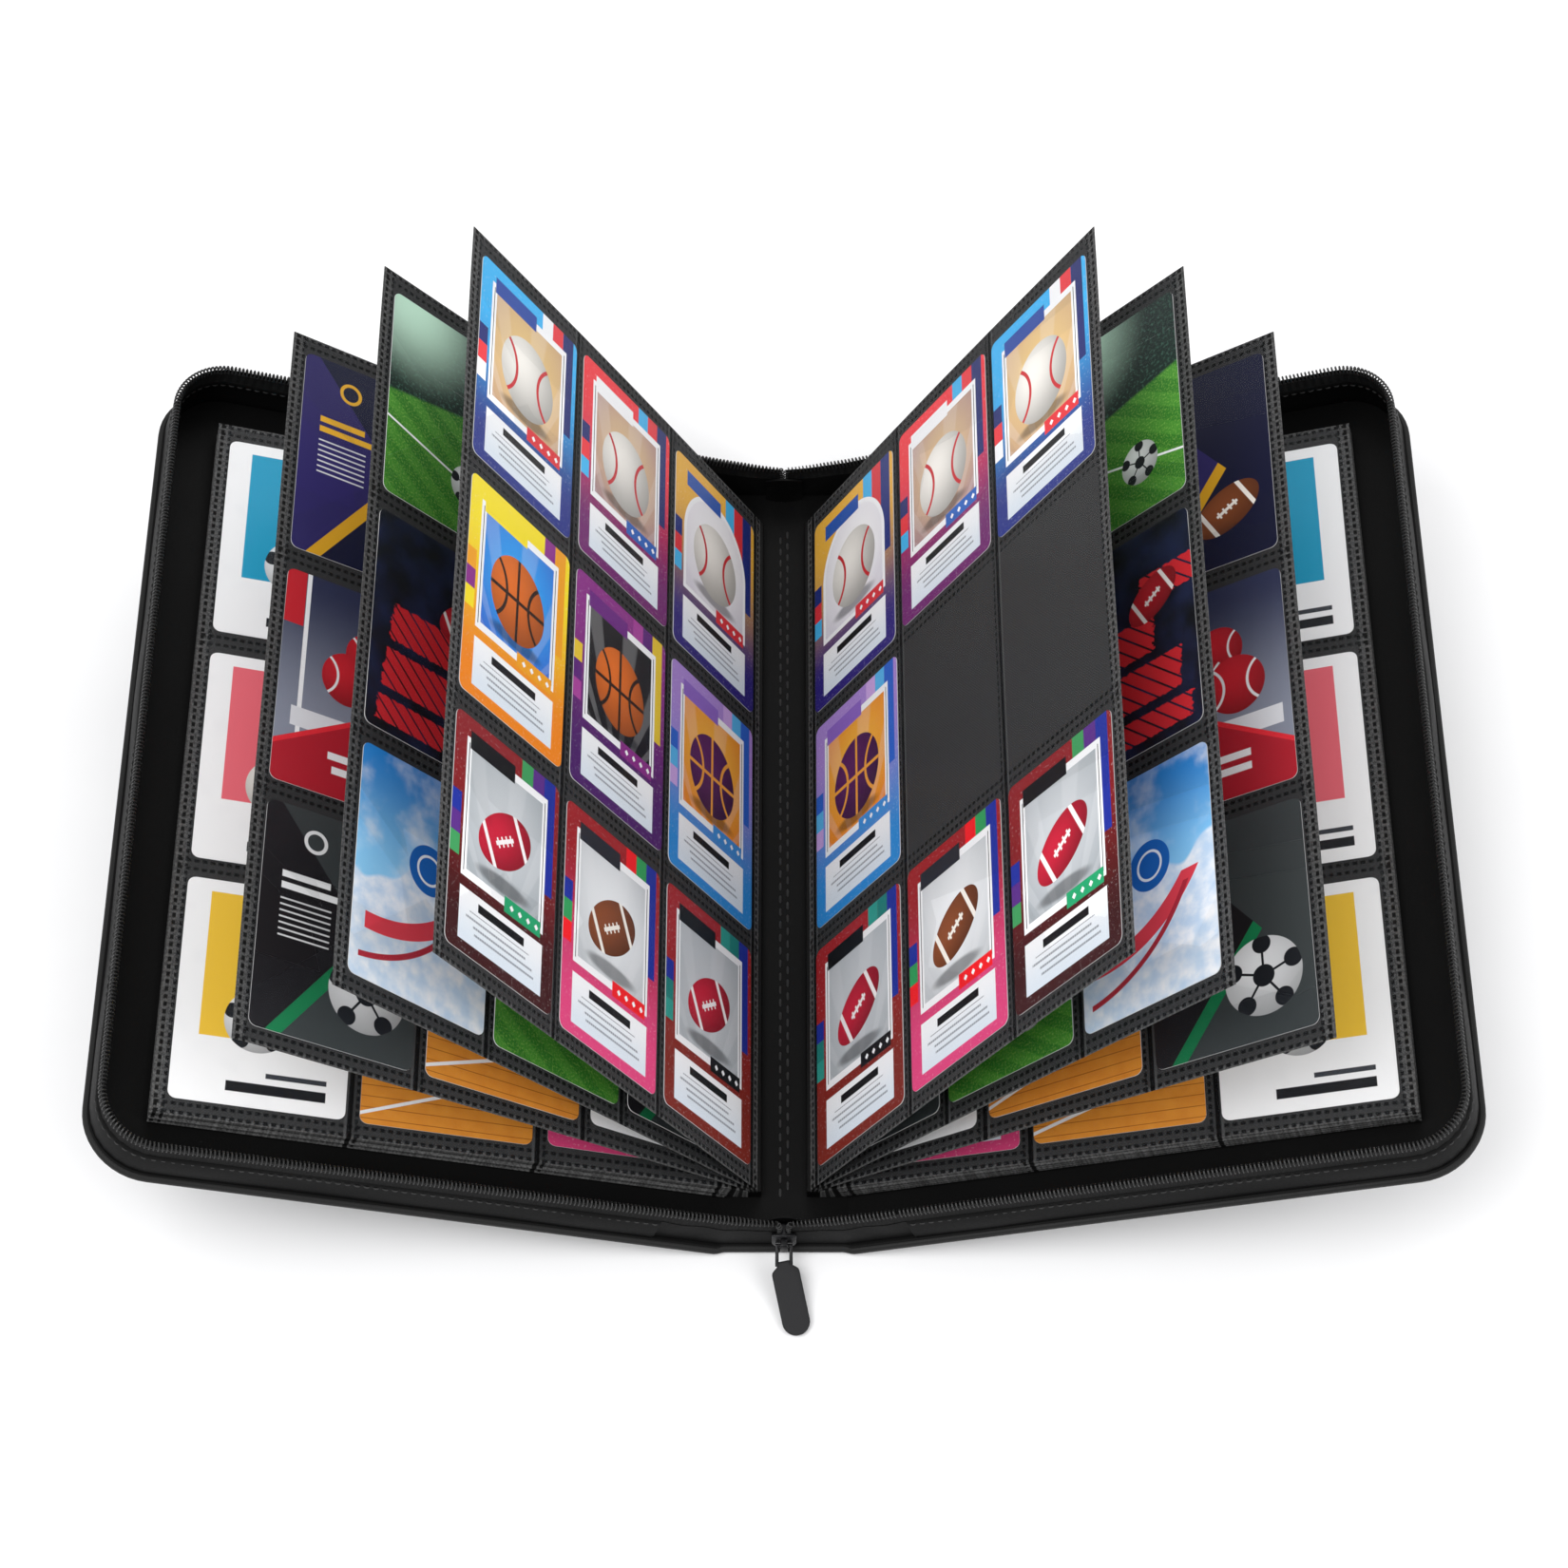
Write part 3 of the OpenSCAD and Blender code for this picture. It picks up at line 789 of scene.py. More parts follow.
# A leaf is a charcoal non-woven sheet. Its root is caught in the binding strip, where it flexes, and
# clear film is welded to both faces in double lines of short dashes, so that each face is nine pockets.
LEAF_ROOT, LEAF_W, LEAF_H = 0.6, 213, 298.5
COLUMN, ROW, MARGIN = 69, 97.5, 3
LEAF_T = 1.1
SHEET_T = 0.3
FAN = {1: (9.85, 61.2), 2: (11.35, 50.4), 3: (12.85, 36)}
FAN_Z = 10
STACK_X, STACK_Z, STACK_TOP = 21.5, 4.4, 7.15


def leaf_place(side, leaf, u, v, w):
    """Points in mm on a leaf: u out from its root line, v towards the head, and w up from its middle."""
    u, v, w = np.broadcast_arrays(np.asarray(u, float), np.asarray(v, float), np.asarray(w, float))
    x, angle = FAN.get(leaf, (STACK_X, 18))
    z = STACK_Z if leaf == 4 else FAN_Z
    lift = STACK_TOP if leaf == 4 else 0
    a = math.radians(angle)
    slack = np.clip(u / LEAF_W, 0, 1)
    bow = 0 if leaf == 4 else 0.9 * np.sin(math.pi * slack) + 0.3 * np.sin(v / 31 + 0.8) * slack ** 2
    up = w + bow + lift
    out, height = x + u * math.cos(a) - up * math.sin(a), z + u * math.sin(a) + up * math.cos(a)
    return np.stack([side * out, v, height], -1)


def shell(top, bottom, spots):
    """A closed skin between two grids of points."""
    rows, columns = top.shape[:2]
    index = np.arange(rows * columns).reshape(rows, columns)
    over = np.stack([index[:-1, :-1], index[1:, :-1], index[1:, 1:], index[:-1, 1:]], -1).reshape(-1, 4)
    rim = np.concatenate([index[0, :-1], index[:-1, -1], index[-1, :0:-1], index[:0:-1, 0]])
    ahead = np.roll(rim, -1)
    under = rows * columns
    sides = np.stack([rim, ahead, ahead + under, rim + under], -1)
    points = np.concatenate([top.reshape(-1, 3), bottom.reshape(-1, 3)])
    faces = np.concatenate([over, over[:, ::-1] + under, sides]).tolist()
    return points, faces, np.concatenate([spots.reshape(-1, 2)] * 2)


def from_seam(place, first, pitch):
    """Signed distance from the nearest of a row of weld lines, which starts at first."""
    return ((place - first) / pitch + 0.5).fract() * pitch - pitch / 2


def nonwoven(place):
    """Charcoal non-woven cloth with pressed dots and weld dashes round each pocket, painted shade in the
    pocket mouths, and a painted highlight beside each mouth.
    """
    u, v, _ = place.split()
    dots = (u * (math.tau / 1.15)).sin() * (v * (math.tau / 1.15)).sin()
    fibre = place.noise(1.3, 3)
    seam_v = from_seam(v, -1.5 * ROW, ROW)
    seam_u = from_seam(u, LEAF_ROOT + MARGIN, COLUMN)
    dash_u = abs((u / 3).fract() - 0.5).within(0.31)
    dash_v = abs((v / 3).fract() - 0.5).within(0.31)
    rim = (u - LEAF_ROOT - LEAF_W).within(4.6).most((u - LEAF_ROOT).within(2.6))
    rim = rim.most((abs(v) - LEAF_H / 2).within(1.4)) * place.noise(0.9, 2).step(0.25, 0.8)
    welds = (abs(seam_v) - 1.7).within(0.7) * dash_u
    welds = welds.most((seam_u + 1.5).within(0.6) * dash_v)
    welds = welds.most((u - LEAF_ROOT - LEAF_W + 1.8).within(0.65) * dash_v)
    inside = 1 - u.step(LEAF_W - 10, LEAF_W - 9)
    # Painted shade: the sheet is darkened almost to black along each pocket's mouth, for the shade inside
    # the opening.
    mouth_shade = (seam_u - 1).within(0.85) * inside
    # Painted highlight: a lighter strip beside each mouth, for light caught on the film's edge.
    film_edge_highlight = (seam_u - 2.6).within(0.5) * inside
    tone = fibre * 0.014 + dots * 0.011 + (rim * 0.08).most(film_edge_highlight * 0.03) + 0.028
    tone = tone * (1 - welds * 0.92) * (1 - mouth_shade * 0.95)
    return {
        "Base Color": tone,
        "Roughness": 0.8,
        "Normal": (dots * 0.03 + fibre * 0.015 - welds * 0.12).relief(),
        "Specular IOR Level": 0.1,
    }


def clear_film(place):
    """Clear soft film, faintly rippled."""
    ripple = place.noise(0.05, 2)
    return {
        "Base Color": ink("3c4046"),
        "Roughness": ripple * 0.14 + 0.16,
        "Alpha": 0.05,
        "Normal": (ripple * 1.2).relief(),
        "Specular IOR Level": 0.5,
    }


NONWOVEN = finish("charcoal_nonwoven", nonwoven)
FILM = finish("clear_film", clear_film)


def leaf_sheet(side, leaf):
    """A leaf's sheet, with a root that runs down into the binding strip."""
    us = np.concatenate([[LEAF_ROOT, 2, 4], np.linspace(8, LEAF_ROOT + LEAF_W, 24)])
    vs = np.linspace(-LEAF_H / 2, LEAF_H / 2, 31)
    u, v = np.meshgrid(us, vs, indexing="ij")
    top, bottom = (leaf_place(side, leaf, u, v, w) for w in (SHEET_T / 2, -SHEET_T / 2))
    spots = np.stack([u, v], -1)
    if leaf in FAN:
        x = FAN[leaf][0]
        roots = [(side * (x + face * SHEET_T / 2), z) for z in (8.2, 9, 9.7) for face in (-1, 1)]
        strip = np.array([[[rx, y, rz] for y in vs] for rx, rz in roots])
        top = np.concatenate([strip[0::2], top])
        bottom = np.concatenate([strip[1::2], bottom])
        root_spots = np.array([[[k - 2, y] for y in vs] for k in range(3)])
        spots = np.concatenate([root_spots, spots])
    return shell(top, bottom, spots)


def pocket_film(side, leaf, face):
    """The film of one face: three columns of three pockets, each standing off the sheet over its card."""
    parts = []
    for column in range(3):
        middle = LEAF_ROOT + MARGIN + (column + 0.5) * COLUMN
        steps = np.array([(-33.4, 0.95), (-32.2, 1), (31.8, 1), (32.6, 0.7), (33.4, 0.1), (34.6, 0)])
        lines = [(-LEAF_H / 2 + 0.4, 0)]
        for row in (-1, 0, 1):
            for at, height in ((-46.6, 0), (-45.9, 0.7), (-45, 1), (0, 1), (45, 1), (45.9, 0.7), (46.6, 0)):
                lines.append((row * ROW + at, height))
        lines = np.array(lines + [(LEAF_H / 2 - 0.4, 0)])
        u, v = np.meshgrid(middle + steps[:, 0], lines[:, 0], indexing="ij")
        stand = np.outer(steps[:, 1], lines[:, 1]) * 0.3 + 0.2
        skins = [leaf_place(side, leaf, u, v, face * (stand + thick)) for thick in (0.05, 0)]
        parts.append(shell(*skins, np.stack([u, v], -1)))
    return parts


for name, side in SIDES.items():
    for leaf in (1, 2, 3, 4):
        body = f"{name}_leaf_{leaf}" if leaf in FAN else f"{name}_leaf_stack"
        sheet = add_piece(f"{name}_leaf_{leaf}_cloth", [leaf_sheet(side, leaf)], [NONWOVEN])
        if leaf in FAN:
            x = side * FAN[leaf][0]
            root_end = leaf_place(side, leaf, 3, 0, 0) * MM
            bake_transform(sheet)
        else:
            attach(sheet, body)
        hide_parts(f"{name}_leaf_{leaf}_sheet")
        films = pocket_film(side, leaf, 1) + pocket_film(side, leaf, -1)
        film = add_piece(f"{name}_leaf_{leaf}_film", films, [FILM])
        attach(film, body)
        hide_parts(f"{name}_leaf_{leaf}_pockets")


# The six leaves under leaf 4 lie flat in each cover. Each is loaded like the others, so that it is
# thick over its cards and thin along its welded edge, and their roots all run back to the binding.
TRAY = 6
trays = random.Random(7)


def tray_leaf(side, level):
    """One leaf of the tray: thin round its edge, thick over its cards, and slightly out of line."""
    shift_u, shift_v = trays.uniform(-0.7, 0.2), trays.uniform(-0.7, 0.7)
    us = np.array([LEAF_ROOT, 2.5, 5, 60, 120, 180, 205, 208, 210, 212, LEAF_ROOT + LEAF_W + shift_u])
    vs = np.concatenate([[-149.25, -148, -146.5, -144.5], np.linspace(-130, 130, 14)])
    vs = np.concatenate([vs, [144.5, 146.5, 148, 149.25]]) + shift_v
    u, v = np.meshgrid(us, vs, indexing="ij")
    rim = np.minimum(LEAF_ROOT + LEAF_W + shift_u - u, LEAF_H / 2 - abs(v - shift_v))
    half = 0.2 + 0.3 * np.clip((rim - 1.5) / 3, 0, 1)
    sag = -0.25 * np.clip(1 - rim / 3, 0, 1) + trays.uniform(-0.05, 0.05)
    middle = (level + 0.5) * LEAF_T - STACK_TOP + sag
    skins = [leaf_place(side, 4, u, v, middle + face * half) for face in (1, -1)]
    return shell(*skins, np.stack([u, v], -1))


def tray_root(side, level):
    """The root of a tray leaf, a strip that runs back to the foot of the binding."""
    w = (level + 0.5) * LEAF_T - STACK_TOP
    vs = np.linspace(-LEAF_H / 2, LEAF_H / 2, 3)
    near = leaf_place(side, 4, 3, 0, w)
    mid = leaf_place(side, 4, 0.8, 0, w)
    far = np.array([side * 13.3, 0, 4.2 + 0.66 * level])
    line = np.array([far, far * 0.5 + mid * 0.5 - [0, 0, 0.3], mid, near])
    skins = [
        np.array([[point + [0, y, face * 0.16] for y in vs] for point in line]) for face in (1, -1)
    ]
    return shell(*skins, np.array([[[k * 3, y] for y in vs] for k in range(4)]))


for name, side in SIDES.items():
    tray = add_piece(f"{name}_tray", [tray_leaf(side, level) for level in range(TRAY)], [NONWOVEN])
    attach(tray, f"{name}_leaf_stack")
    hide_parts(f"{name}_tray_leaves")
    # Leaf 4 has its root here too, on top of the six.
    strips = [tray_root(side, level) for level in range(TRAY + 1)]
    roots = add_piece(f"{name}_tray_roots", strips, [NONWOVEN])
    start, end = (side * 13.6 * MM, 0, 6 * MM), leaf_place(side, 4, 2, 0, -3.5) * MM
    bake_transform(roots)


# Each pocket holds a printed card on each face of the leaf: 0.3 mm board with round corners. The
# print is worked out in the card's own millimetres, from its lower left corner.
CARD_W, CARD_H, CARD_R, CARD_T = 63.5, 88.9, 3, 0.3
CARD_MID = CARD_W / 2
WHITE, PAPER, BLACK = ink("f7f8fa"), ink("dfe9f3"), ink("0b0b0d")


def block(x, y, left, low, right, high):
    """Mask of an upright rectangle."""
    wide = abs(x - (left + right) / 2) - (right - left) / 2
    tall = abs(y - (low + high) / 2) - (high - low) / 2
    return 1 - wide.most(tall).step(-0.15, 0.15)


def disc(x, y, across_at, up_at, radius, soft=0.15, squash=1):
    """Mask of a disc, or of an ellipse where squash is its height over its width."""
    gap = ((x - across_at) ** 2 + ((y - up_at) / squash) ** 2) ** 0.5
    return 1 - gap.step(radius - soft, radius + soft)


def slant(x, y, slope, offset):
    """Mask of the side of a sloping line that is above it."""
    return (y - x * slope - offset).step(-0.15, 0.15)


def ball(art, x, y, at, radius, skin, seam, kind):
    """A ball with its seams, laid over the art. An oval one lies tilted, with laces."""
    cx, cy = at
    dx, dy = x - cx, y - cy
    squash = 1
    if kind == "oval":
        dx, dy = dx * 0.87 + dy * 0.5, dy * 0.87 - dx * 0.5
        squash = 0.6
    whole = disc(dx, dy, 0, 0, radius, squash=squash)
    light = disc(dx, dy, -radius * 0.3, radius * 0.35 * squash, radius * 0.9, radius * 0.9, squash)
    dark = tuple(c * 0.35 for c in skin[:3]) + (1,)
    body = light.between(dark, skin)
    reach = radius * 0.045
    if kind == "oval":
        seams = (abs(dx) - radius * 0.62).within(reach * 1.3)
        seams = seams.most(dy.within(reach) * dx.within(radius * 0.34))
        ticks = abs((dx / radius * 6).fract() - 0.5).within(0.16, 0.05)
        seams = seams.most(ticks * dy.within(radius * 0.11) * dx.within(radius * 0.34))
    elif kind == "patched":
        seams = disc(dx, dy, 0, 0, radius * 0.28)
        for k in range(5):
            a = math.tau * k / 5 + math.pi / 2
            px, py = radius * 0.82 * math.cos(a), radius * 0.82 * math.sin(a)
            seams = seams.most(disc(dx, dy, px, py, radius * 0.24))
            spoke = (dx * math.sin(a) - dy * math.cos(a)).within(reach * 0.7)
            seams = seams.most(spoke * (dx * math.cos(a) + dy * math.sin(a)).step(0, 0.1))
    else:
        seams = (((dx + radius * 1.25) ** 2 + dy ** 2) ** 0.5 - radius * 0.85).within(reach)
        seams = seams.most((((dx - radius * 1.25) ** 2 + dy ** 2) ** 0.5 - radius * 0.85).within(reach))
        if kind == "crossed":
            seams = seams.most(dx.within(reach)).most(dy.within(reach))
    return whole.between(art, seams.between(body, seam))


def printed(art):
    """The shader's sockets for a printed and varnished card."""
    return {
        "Base Color": art,
        "Roughness": 0.5,
        "Specular IOR Level": 0.2,
        "Coat Weight": 0.04,
        "Coat Roughness": 0.2,
    }


def caption(art, x, y, top, head):
    """A heading bar with four ragged rules under it, broken up as small print is."""
    left, right, pitch = 14, 49.5, 2.6
    art = block(x, y, left + 4, top - 3.2, right - 4, top).between(art, head)
    rag = (((y - top) / pitch).floor() * 1.7).sin() * 3
    area = block(x + rag, y, left, top - 14.5, right, top - 4.6)
    rules = abs((y / pitch).fract() - 0.5).within(0.17, 0.06) * area
    words = (x / 1.3).fract().step(0.12, 0.2)
    return (rules * words * 0.7).between(art, ink("4a4f5a"))


def framed(border, border_low, bars, window, window_low, prize, tag, head, arch=False):
    """A portrait card: border, corner bars, a framed window with a ball in it, a tag and a caption."""
    def recipe(place):
        x, y, _ = place.split()
        art = y.step(12, 76).between(border_low, border)
        speck = place.noise(0.9, 2).step(0.62, 0.7) * 0.25
        art = speck.between(art, WHITE)
        for k, colour in enumerate(bars):
            art = block(x, y, 40 + 7 * k, 62 - 9 * k, 47 + 7 * k, 92).between(art, colour)
            art = block(x, y, -1, 34 + 8 * k, 5.5, 42 + 8 * k).between(art, colour)
        frame_mask = block(x, y, 7, 28, 56.5, 81)
        inner = block(x, y, 10, 31, 53.5, 78)
        if arch:
            frame_mask = block(x, y, 7, 28, 56.5, 56).most(disc(x, y, CARD_MID, 56, 24.8))
            inner = block(x, y, 9, 30, 54.5, 56).most(disc(x, y, CARD_MID, 56, 22.8))
        art = frame_mask.between(art, WHITE)
        picture = disc(x, y, CARD_MID, 58, 26, 24).between(window_low, window)
        fan = (x - CARD_MID) / (y - 12)
        rays = (fan * 16).sin().step(0.1, 0.5) * 0.12
        picture = rays.between(picture, WHITE)
        shadow = disc(x, y, CARD_MID, 35, 15, 4, 0.2) * 0.6
        picture = shadow.between(picture, BLACK)
        skin, seam, kind = prize
        picture = ball(picture, x, y, (CARD_MID, 52), 17, skin, seam, kind)
        art = inner.between(art, picture)
        if not arch:
            thin = (abs(x - CARD_MID) - 23.2).within(0.22, 0.06) * block(x, y, 4, 30, 60, 79)
            art = thin.between(art, BLACK)
        art = block(x, y, 9, 77, 36, 84).between(art, tag)
        art = block(x, y, 33, 26, 55, 32).between(art, head)
        star = abs(((x - 35) / 5).fract() - 0.5) * 5
        stars = (star + abs(y - 29)).within(1.25) * block(x, y, 35, 27, 54.9, 31)
        art = stars.between(art, WHITE)
        art = block(x, y, 7, 4.5, 56.5, 24).between(art, y.step(4, 24).between(PAPER, WHITE))
        return printed(caption(art, x, y, 21.5, BLACK))
    return recipe


def pitch_card(place):
    """Floodlit turf with a striped stand behind it and a ball in front."""
    x, y, _ = place.split()
    blades = place.noise(1.2, 4)
    stripes = (x * 0.32 + y * 0.5).sin().step(-0.2, 0.2) * 0.4
    turf = stripes.between(ink("2f7a22"), ink("5aa63a"))
    turf = (blades.step(0.45, 0.75) * 0.5).between(turf, ink("a4cf63"))
    crowd = place.noise(0.75, 3).step(0.5, 0.7) * 0.5
    stand = crowd.between(ink("10251f"), ink("4f7f6c"))
    beam = disc(x, y, 12, 86, 20, 19).between(stand, ink("d6ffe6"))
    art = (y - x * 0.18).step(44, 46).between(turf, beam)
    art = (y - 33 + x * 0.25).within(0.5).between(art, WHITE)
    art = ball(art, x, y, (42, 22), 9, WHITE, ink("1b1d22"), "patched")
    return printed(art)


def court_card(place):
    """A maple floor with a painted lane, in front of a red wall."""
    x, y, _ = place.split()
    boards = abs((y / 4.4).fract() - 0.5).within(0.03, 0.03)
    wood = (place.noise(0.15, 4) * 0.8).between(ink("f0a33c"), ink("c96f1c"))
    wood = boards.between(wood, ink("9a5214"))
    wood = (y - x * 0.35 - 4).within(0.7).between(wood, WHITE)
    art = y.step(38.5, 39).between(wood, y.step(39, 90).between(ink("e8b7b4"), ink("f6dfdc")))
    art = ball(art, x, y, (24, 52), 17, ink("b71f2c"), ink("f3e9e6"), "crossed")
    return printed(art)


def night_card(place):
    """Black and navy, with heavy slanted red bars across it and an oval ball."""
    x, y, _ = place.split()
    smoke = place.noise(0.06, 4)
    art = smoke.step(0.35, 0.75).between(ink("08090d"), ink("1c2547"))
    for low, high, left, right in ((58, 70, 30, 58), (38, 53, 4, 38), (18, 34, 4, 52), (4, 14, 4, 58)):
        ragged = (place.noise(0.5, 2) - 0.5) * 5
        bar = block(x - y * 0.12 + ragged, y + ragged * 0.4, left, low, right, high)
        art = (bar * (x * 0.85 + y).sin().step(-0.95, -0.8)).between(art, ink("d3272f"))
    art = ball(art, x, y, (44, 60), 13, ink("c01f2b"), ink("f5f1ee"), "oval")
    return printed(art)


def slope_card(place):
    """A snow slope under a blue sky, with a red ski sweeping across it."""
    x, y, _ = place.split()
    cloud = place.noise(0.05, 4).step(0.45, 0.75)
    sky = y.step(40, 92).between(ink("8ecdf2"), ink("1f86d8"))
    sky = (cloud * 0.75).between(sky, WHITE)
    ridge = (x * 0.16).sin() * 3 + (x * 0.41).sin() * 1.2
    snow = place.noise(0.14, 4).step(0.3, 0.75).between(ink("c3d9ef"), WHITE)
    art = (y + ridge - x * 0.22).step(39, 41).between(snow, sky)
    gap = ((x - 34) ** 2 + (y - 52) ** 2) ** 0.5
    art = gap.within(9.5).between(art, ink("1f66b8"))
    art = (gap - 5.4).within(0.5).between(art, WHITE)
    ski = (((x - 8) ** 2 + (y - 78) ** 2) ** 0.5 - 56).within(3.2) * block(x, y, 6, 10, 60, 44)
    art = ski.between(art, ink("e4404d"))
    far_ski = (((x + 4) ** 2 + (y - 70) ** 2) ** 0.5 - 62).within(1.1) * block(x, y, 4, 6, 60, 40)
    return printed(far_ski.between(art, ink("b32a38")))


def banner_card(ground, ground_low, band, badge, prize):
    """A dark ground cut by a slanted band, with a round badge, ragged rules and a ball."""
    def recipe(place):
        x, y, _ = place.split()
        art = slant(x, y, 1.3, -8).between(ground_low, ground)
        art = ((y - x * 1.3 + 12) * 0.6).within(2.4).between(art, band)
        art = slant(x, y, -1.2, 96).between(art, ground_low)
        skin, seam, kind = prize
        art = ball(art, x, y, (44, 24), 15, skin, seam, kind)
        art = (((x - 20) ** 2 + (y - 77) ** 2) ** 0.5 - 4).within(0.7).between(art, badge)
        art = block(x, y, 8, 60, 27, 62.6).between(art, badge)
        art = block(x, y, 8, 55.5, 32, 58.1).between(art, badge)
        rules = abs((y / 2.4).fract() - 0.5).within(0.14, 0.06) * block(x, y, 8, 36, 28, 53)
        return printed((rules * 0.7).between(art, WHITE))
    return recipe


def team_card(place):
    """Slate sky over three red discs in a heap, with a white stripe and a red six-sided panel."""
    x, y, _ = place.split()
    art = y.step(20, 88).between(ink("8d93a3"), ink("2c3150"))
    art = block(x, y, -1, 66, 8, 92).between(art, ink("c8202c"))
    art = (x - 9.2).within(0.9).between(art, WHITE)
    for cx, cy, r in ((36, 62, 10), (28, 50, 11), (42, 46, 12)):
        art = ball(art, x, y, (cx, cy), r, ink("d3222f"), ink("f4f4f6"), "seamed")
    art = block(x, y, 6, 24, 60, 32).between(art, ink("e5e7ec"))
    peak = (y + abs(x - 32) * 0.55).step(34, 34.3)
    art = peak.between(ink("b51b2b"), art)
    art = (y + abs(x - 32) * 0.55 - 33).within(1.1).between(art, ink("ea2c38"))
    art = block(x, y, 22, 15, 46, 18).between(art, WHITE)
    art = block(x, y, 24, 9.5, 46, 12.5).between(art, WHITE)
    return printed(art)


def panel_card(colour, skin, seam, kind):
    """A white card with one coloured panel, a ball over its edge and two rules at its foot."""
    def recipe(place):
        x, y, _ = place.split()
        wash = place.noise(0.05, 3).step(0.5, 0.8) * 0.25
        art = wash.between(ink("fbfbfc"), ink("d5d8dd"))
        art = block(x, y, 9, 26, 54, 84).between(art, colour)
        art = ball(art, x, y, (30, 34), 12.5, skin, seam, kind)
        art = block(x, y, 34, 12, 56, 14).between(art, ink("3a3d44"))
        art = block(x, y, 20, 5.5, 56, 9.5).between(art, ink("15161a"))
        return printed(art)
    return recipe


def card_stock(place):
    """The uncoated edge and back of a card."""
    fibre = place.noise(1.5, 3)
    return {"Base Color": fibre.between(ink("cfcfd0"), ink("e9e9ea")), "Roughness": 0.8}


LEATHER_BALL = (ink("f2efe8"), ink("c4262e"), "seamed")
ORANGE_BALL = (ink("e2701d"), ink("24130a"), "crossed")
OVAL_BALL = (ink("8a4a26"), ink("f4efe6"), "oval")
PATCH_BALL = (ink("f4f5f7"), ink("1b1d22"), "patched")
PURPLE_BALL = (ink("5b1f5e"), ink("f0a23a"), "crossed")
RED_OVAL = (ink("c9203a"), ink("f7f2f2"), "oval")
CARDS = {
    "navy": framed(ink("35b2f0"), ink("1d2f86"), (ink("f5f6f8"), ink("e4323b"), ink("14216a")),
                   ink("e6c483"), ink("b58f7c"), LEATHER_BALL, ink("20469f"), ink("dd2b33")),
    "crimson": framed(ink("ee2f3a"), ink("701f6c"), (ink("3fb1e8"), ink("e4323b"), ink("14216a")),
                      ink("d9b98c"), ink("93708c"), LEATHER_BALL, ink("f5f6f8"), ink("2b62b8")),
    "amber": framed(ink("eab23e"), ink("2a1c78"), (ink("45b4ea"), ink("d9303a"), ink("1a2a78")),
                    ink("fbfbfc"), ink("cdc8d6"), LEATHER_BALL, ink("2b57ac"), ink("d9303a"), arch=True),
    "yellow": framed(ink("f7e01f"), ink("f0860f"), (ink("f7e01f"), ink("8b2a8a"), ink("f0a21a")),
                     ink("29a2f2"), ink("3550c4"), ORANGE_BALL, ink("f7e01f"), ink("f0a21a")),
    "purple": framed(ink("8a2b86"), ink("4a1a66"), (ink("a8429a"), ink("5c2178"), ink("e7c531")),
                     ink("151517"), ink("08080a"), ORANGE_BALL, ink("6b2380"), ink("8a2b86")),
    "lilac": framed(ink("a987d3"), ink("2b8bd6"), (ink("c9a5e2"), ink("58b4ea"), ink("2b62c8")),
                    ink("f6b43c"), ink("e26a17"), PURPLE_BALL, ink("8d66c4"), ink("3f8fd8")),
    "maroon": framed(ink("8a1b1f"), ink("3c0d0d"), (ink("3f9a5b"), ink("5a2c86"), ink("1c2f9a")),
                     ink("c9ced2"), ink("8e979d"), RED_OVAL, BLACK, ink("21a06a")),
    "scarlet": framed(ink("9c1b20"), ink("e0457e"), (ink("f01820"), ink("2f9a58"), ink("1c2f9a")),
                      ink("eceff1"), ink("a7adb2"), OVAL_BALL, ink("23262e"), ink("f01820")),
    "teal": framed(ink("a31f24"), ink("7c2316"), (ink("2d9a8d"), ink("1c7f78"), ink("1c2f9a")),
                   ink("c9ced2"), ink("a2a9ae"), RED_OVAL, BLACK, BLACK),
    "pitch": pitch_card,
    "court": court_card,
    "night": night_card,
    "slope": slope_card,
    "gold": banner_card(ink("2b2361"), ink("0d1030"), ink("e2a81f"), ink("e8b02a"), OVAL_BALL),
    "green": banner_card(ink("1b191c"), ink("3a3f40"), ink("147a4a"), ink("f2f3f4"), PATCH_BALL),
    "team": team_card,
    "cyan": panel_card(ink("0f9cc4"), *PATCH_BALL),
    "coral": panel_card(ink("ee6b78"), *LEATHER_BALL),
    "sun": panel_card(ink("f4c63a"), *PATCH_BALL),
}
PRINTS = {name: finish(f"card_{name}", recipe) for name, recipe in CARDS.items()}
STOCK = finish("card_stock", card_stock)
# Rows from the head down, and columns from the fore edge in to the root.
LAYOUT = {
    1: (("navy", "crimson", "amber"), ("yellow", "purple", "lilac"), ("maroon", "scarlet", "teal")),
    2: (("pitch", "court", "pitch"), ("night", "gold", "court"), ("slope", "pitch", "green")),
    3: (("gold", "sun", "navy"), ("team", "night", "pitch"), ("green", "court", "coral")),
    4: (("cyan", "night", "amber"), ("coral", "pitch", "team"), ("sun", "court", "scarlet"))
}
EMPTY = {("back", 1, 1, 1), ("back", 1, 2, 1)}
deck = random.Random(11)


def card_outline():
    """Points round a card from its lower left corner, anticlockwise, in mm."""
    points = []
    for k, (cx, cy) in enumerate(((0, 0), (1, 0), (1, 1), (0, 1))):
        for a in np.radians(np.linspace(180, 270, 5) + 90 * k):
            points.append((
                CARD_R + cx * (CARD_W - 2 * CARD_R) + CARD_R * math.cos(a),
                CARD_R + cy * (CARD_H - 2 * CARD_R) + CARD_R * math.sin(a)
            ))
    return np.array(points)


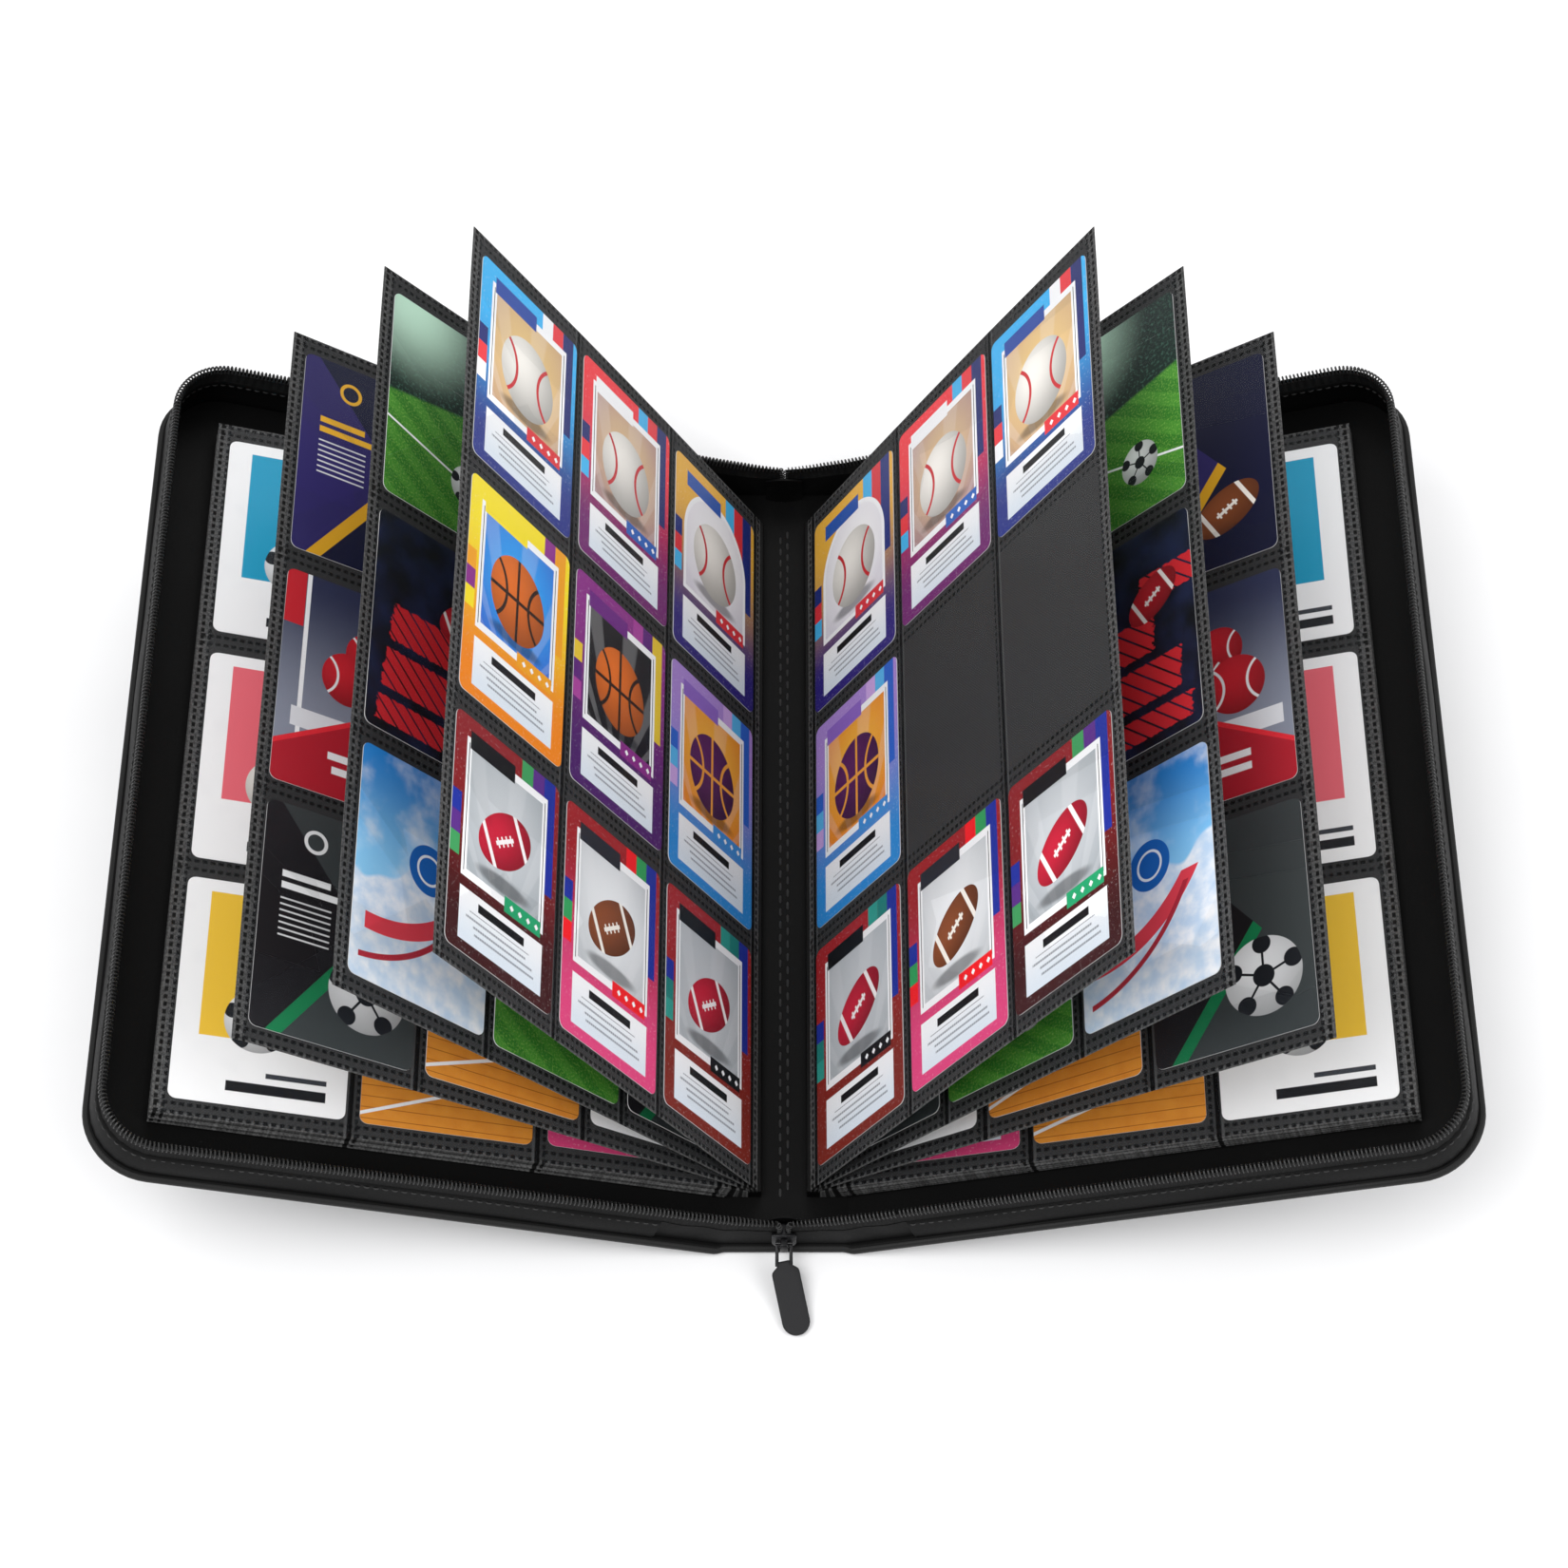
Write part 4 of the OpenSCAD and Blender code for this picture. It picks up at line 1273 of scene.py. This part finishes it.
def card(side, leaf, face, column, row):
    """One card in its pocket, a little off square, printed on the side that faces out."""
    outline = card_outline()
    middle_u = LEAF_ROOT + MARGIN + (column + 0.5) * COLUMN + deck.uniform(-0.5, 0.5)
    middle_v = (row - 1) * ROW + deck.uniform(-1.2, 0.2)
    tilt = math.radians(deck.uniform(-0.35, 0.35))
    x, y = outline[:, 0] - CARD_W / 2, outline[:, 1] - CARD_H / 2
    x, y = x * math.cos(tilt) - y * math.sin(tilt), x * math.sin(tilt) + y * math.cos(tilt)
    u, v = middle_u + x * side * face, middle_v + y
    low, high = SHEET_T / 2 + 0.01, SHEET_T / 2 + CARD_T
    points = np.concatenate([leaf_place(side, leaf, u, v, face * w) for w in (high, low)])
    count = len(outline)
    around = np.arange(count)
    sides = np.stack([around, (around + 1) % count, (around + 1) % count + count, around + count], -1)
    faces = [around.tolist(), (around + count).tolist()[::-1], *sides.tolist()]
    return points, faces, np.concatenate([outline, outline])


for name, side in SIDES.items():
    for leaf in (1, 2, 3, 4):
        cards, wanted = [], []
        for face in (1, -1):
            source = LAYOUT[leaf] if face == 1 else LAYOUT[leaf % 4 + 1]
            for column in range(3):
                for row in range(3):
                    if face == 1 and (name, leaf, column, row) in EMPTY:
                        continue
                    cards.append(card(side, leaf, face, column, row))
                    wanted.append(source[2 - row][2 - column])
        used = sorted(set(wanted))
        painted = []
        for part, design in zip(cards, wanted):
            painted += [used.index(design) + 1] + [0] * (len(part[1]) - 1)
        prints = [STOCK] + [PRINTS[design] for design in used]
        deck_piece = add_piece(f"{name}_leaf_{leaf}_deck", cards, prints, painted, crease=30)
        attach(deck_piece, f"{name}_leaf_{leaf}" if leaf in FAN else f"{name}_leaf_stack")
        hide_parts(f"{name}_leaf_{leaf}_cards")


# The boards of the spine and covers stay inside their wraps, as the solid shapes they are.
for node in ("spine_board", "front_board", "back_board"):
    board = nodes[node]
    board.data.materials.clear()
    board.data.materials.append(BOARD)


# A pale table top, a soft overcast sky and three large soft lamps: one high on the left, one low on
# the right for the leather's sheen, and one behind.
def table_top(place):
    """Matt pale laminate."""
    mottle = place.noise(0.01, 3)
    return {
        "Base Color": mottle.between(ink("e9e9ea"), ink("f1f1f2")),
        "Roughness": 0.65,
    }


FLOOR = 3000
floor_top = np.array([[[x, y, -0.3] for y in (-FLOOR, FLOOR)] for x in (-FLOOR, FLOOR)], float)
slab = shell(floor_top, floor_top - [0, 0, 10], floor_top[..., :2])
floor = add_piece("floor", [slab], [finish("table_top", table_top)])

world = bpy.data.worlds.new("sky")
world.use_nodes = True
sky = world.node_tree.nodes["Background"].inputs
sky["Color"].default_value = (1, 1, 1, 1)
sky["Strength"].default_value = 0.78
bpy.context.scene.world = world
bpy.context.scene.view_settings.view_transform = "Standard"


def look_along(place, aim):
    """The turn that points a lamp from one place at another."""
    dx, dy, dz = (b - a for a, b in zip(place, aim))
    return math.atan2(math.hypot(dx, dy), -dz), 0, math.atan2(-dx, dy)


def soft_lamp(name, place, aim, size, power):
    """A square area lamp, in metres and watts."""
    data = bpy.data.lights.new(name, "AREA")
    data.size = size
    data.energy = power
    lamp = bpy.data.objects.new(name, data)
    lamp.location = place
    lamp.rotation_euler = look_along(place, aim)
    bpy.context.scene.collection.objects.link(lamp)


soft_lamp("key_lamp", (-0.8, -0.6, 1.7), (0, 0, 0.05), 1.2, 22)
soft_lamp("side_lamp", (1.2, -0.7, 1.1), (0, 0, 0.05), 1.0, 11)
soft_lamp("back_lamp", (0.2, 1.3, 1.2), (0, 0, 0.1), 1.0, 7)

# The camera stands over the tail end and looks down into the open binder.
camera = bpy.data.objects.new("camera", bpy.data.cameras.new("camera"))
camera.location = (0, -0.6715, 1.186)
camera.rotation_euler = (math.radians(90 - 59.4), 0, 0)
camera.data.sensor_width = 36
camera.data.lens = 80
bpy.context.scene.collection.objects.link(camera)
bpy.context.scene.camera = camera
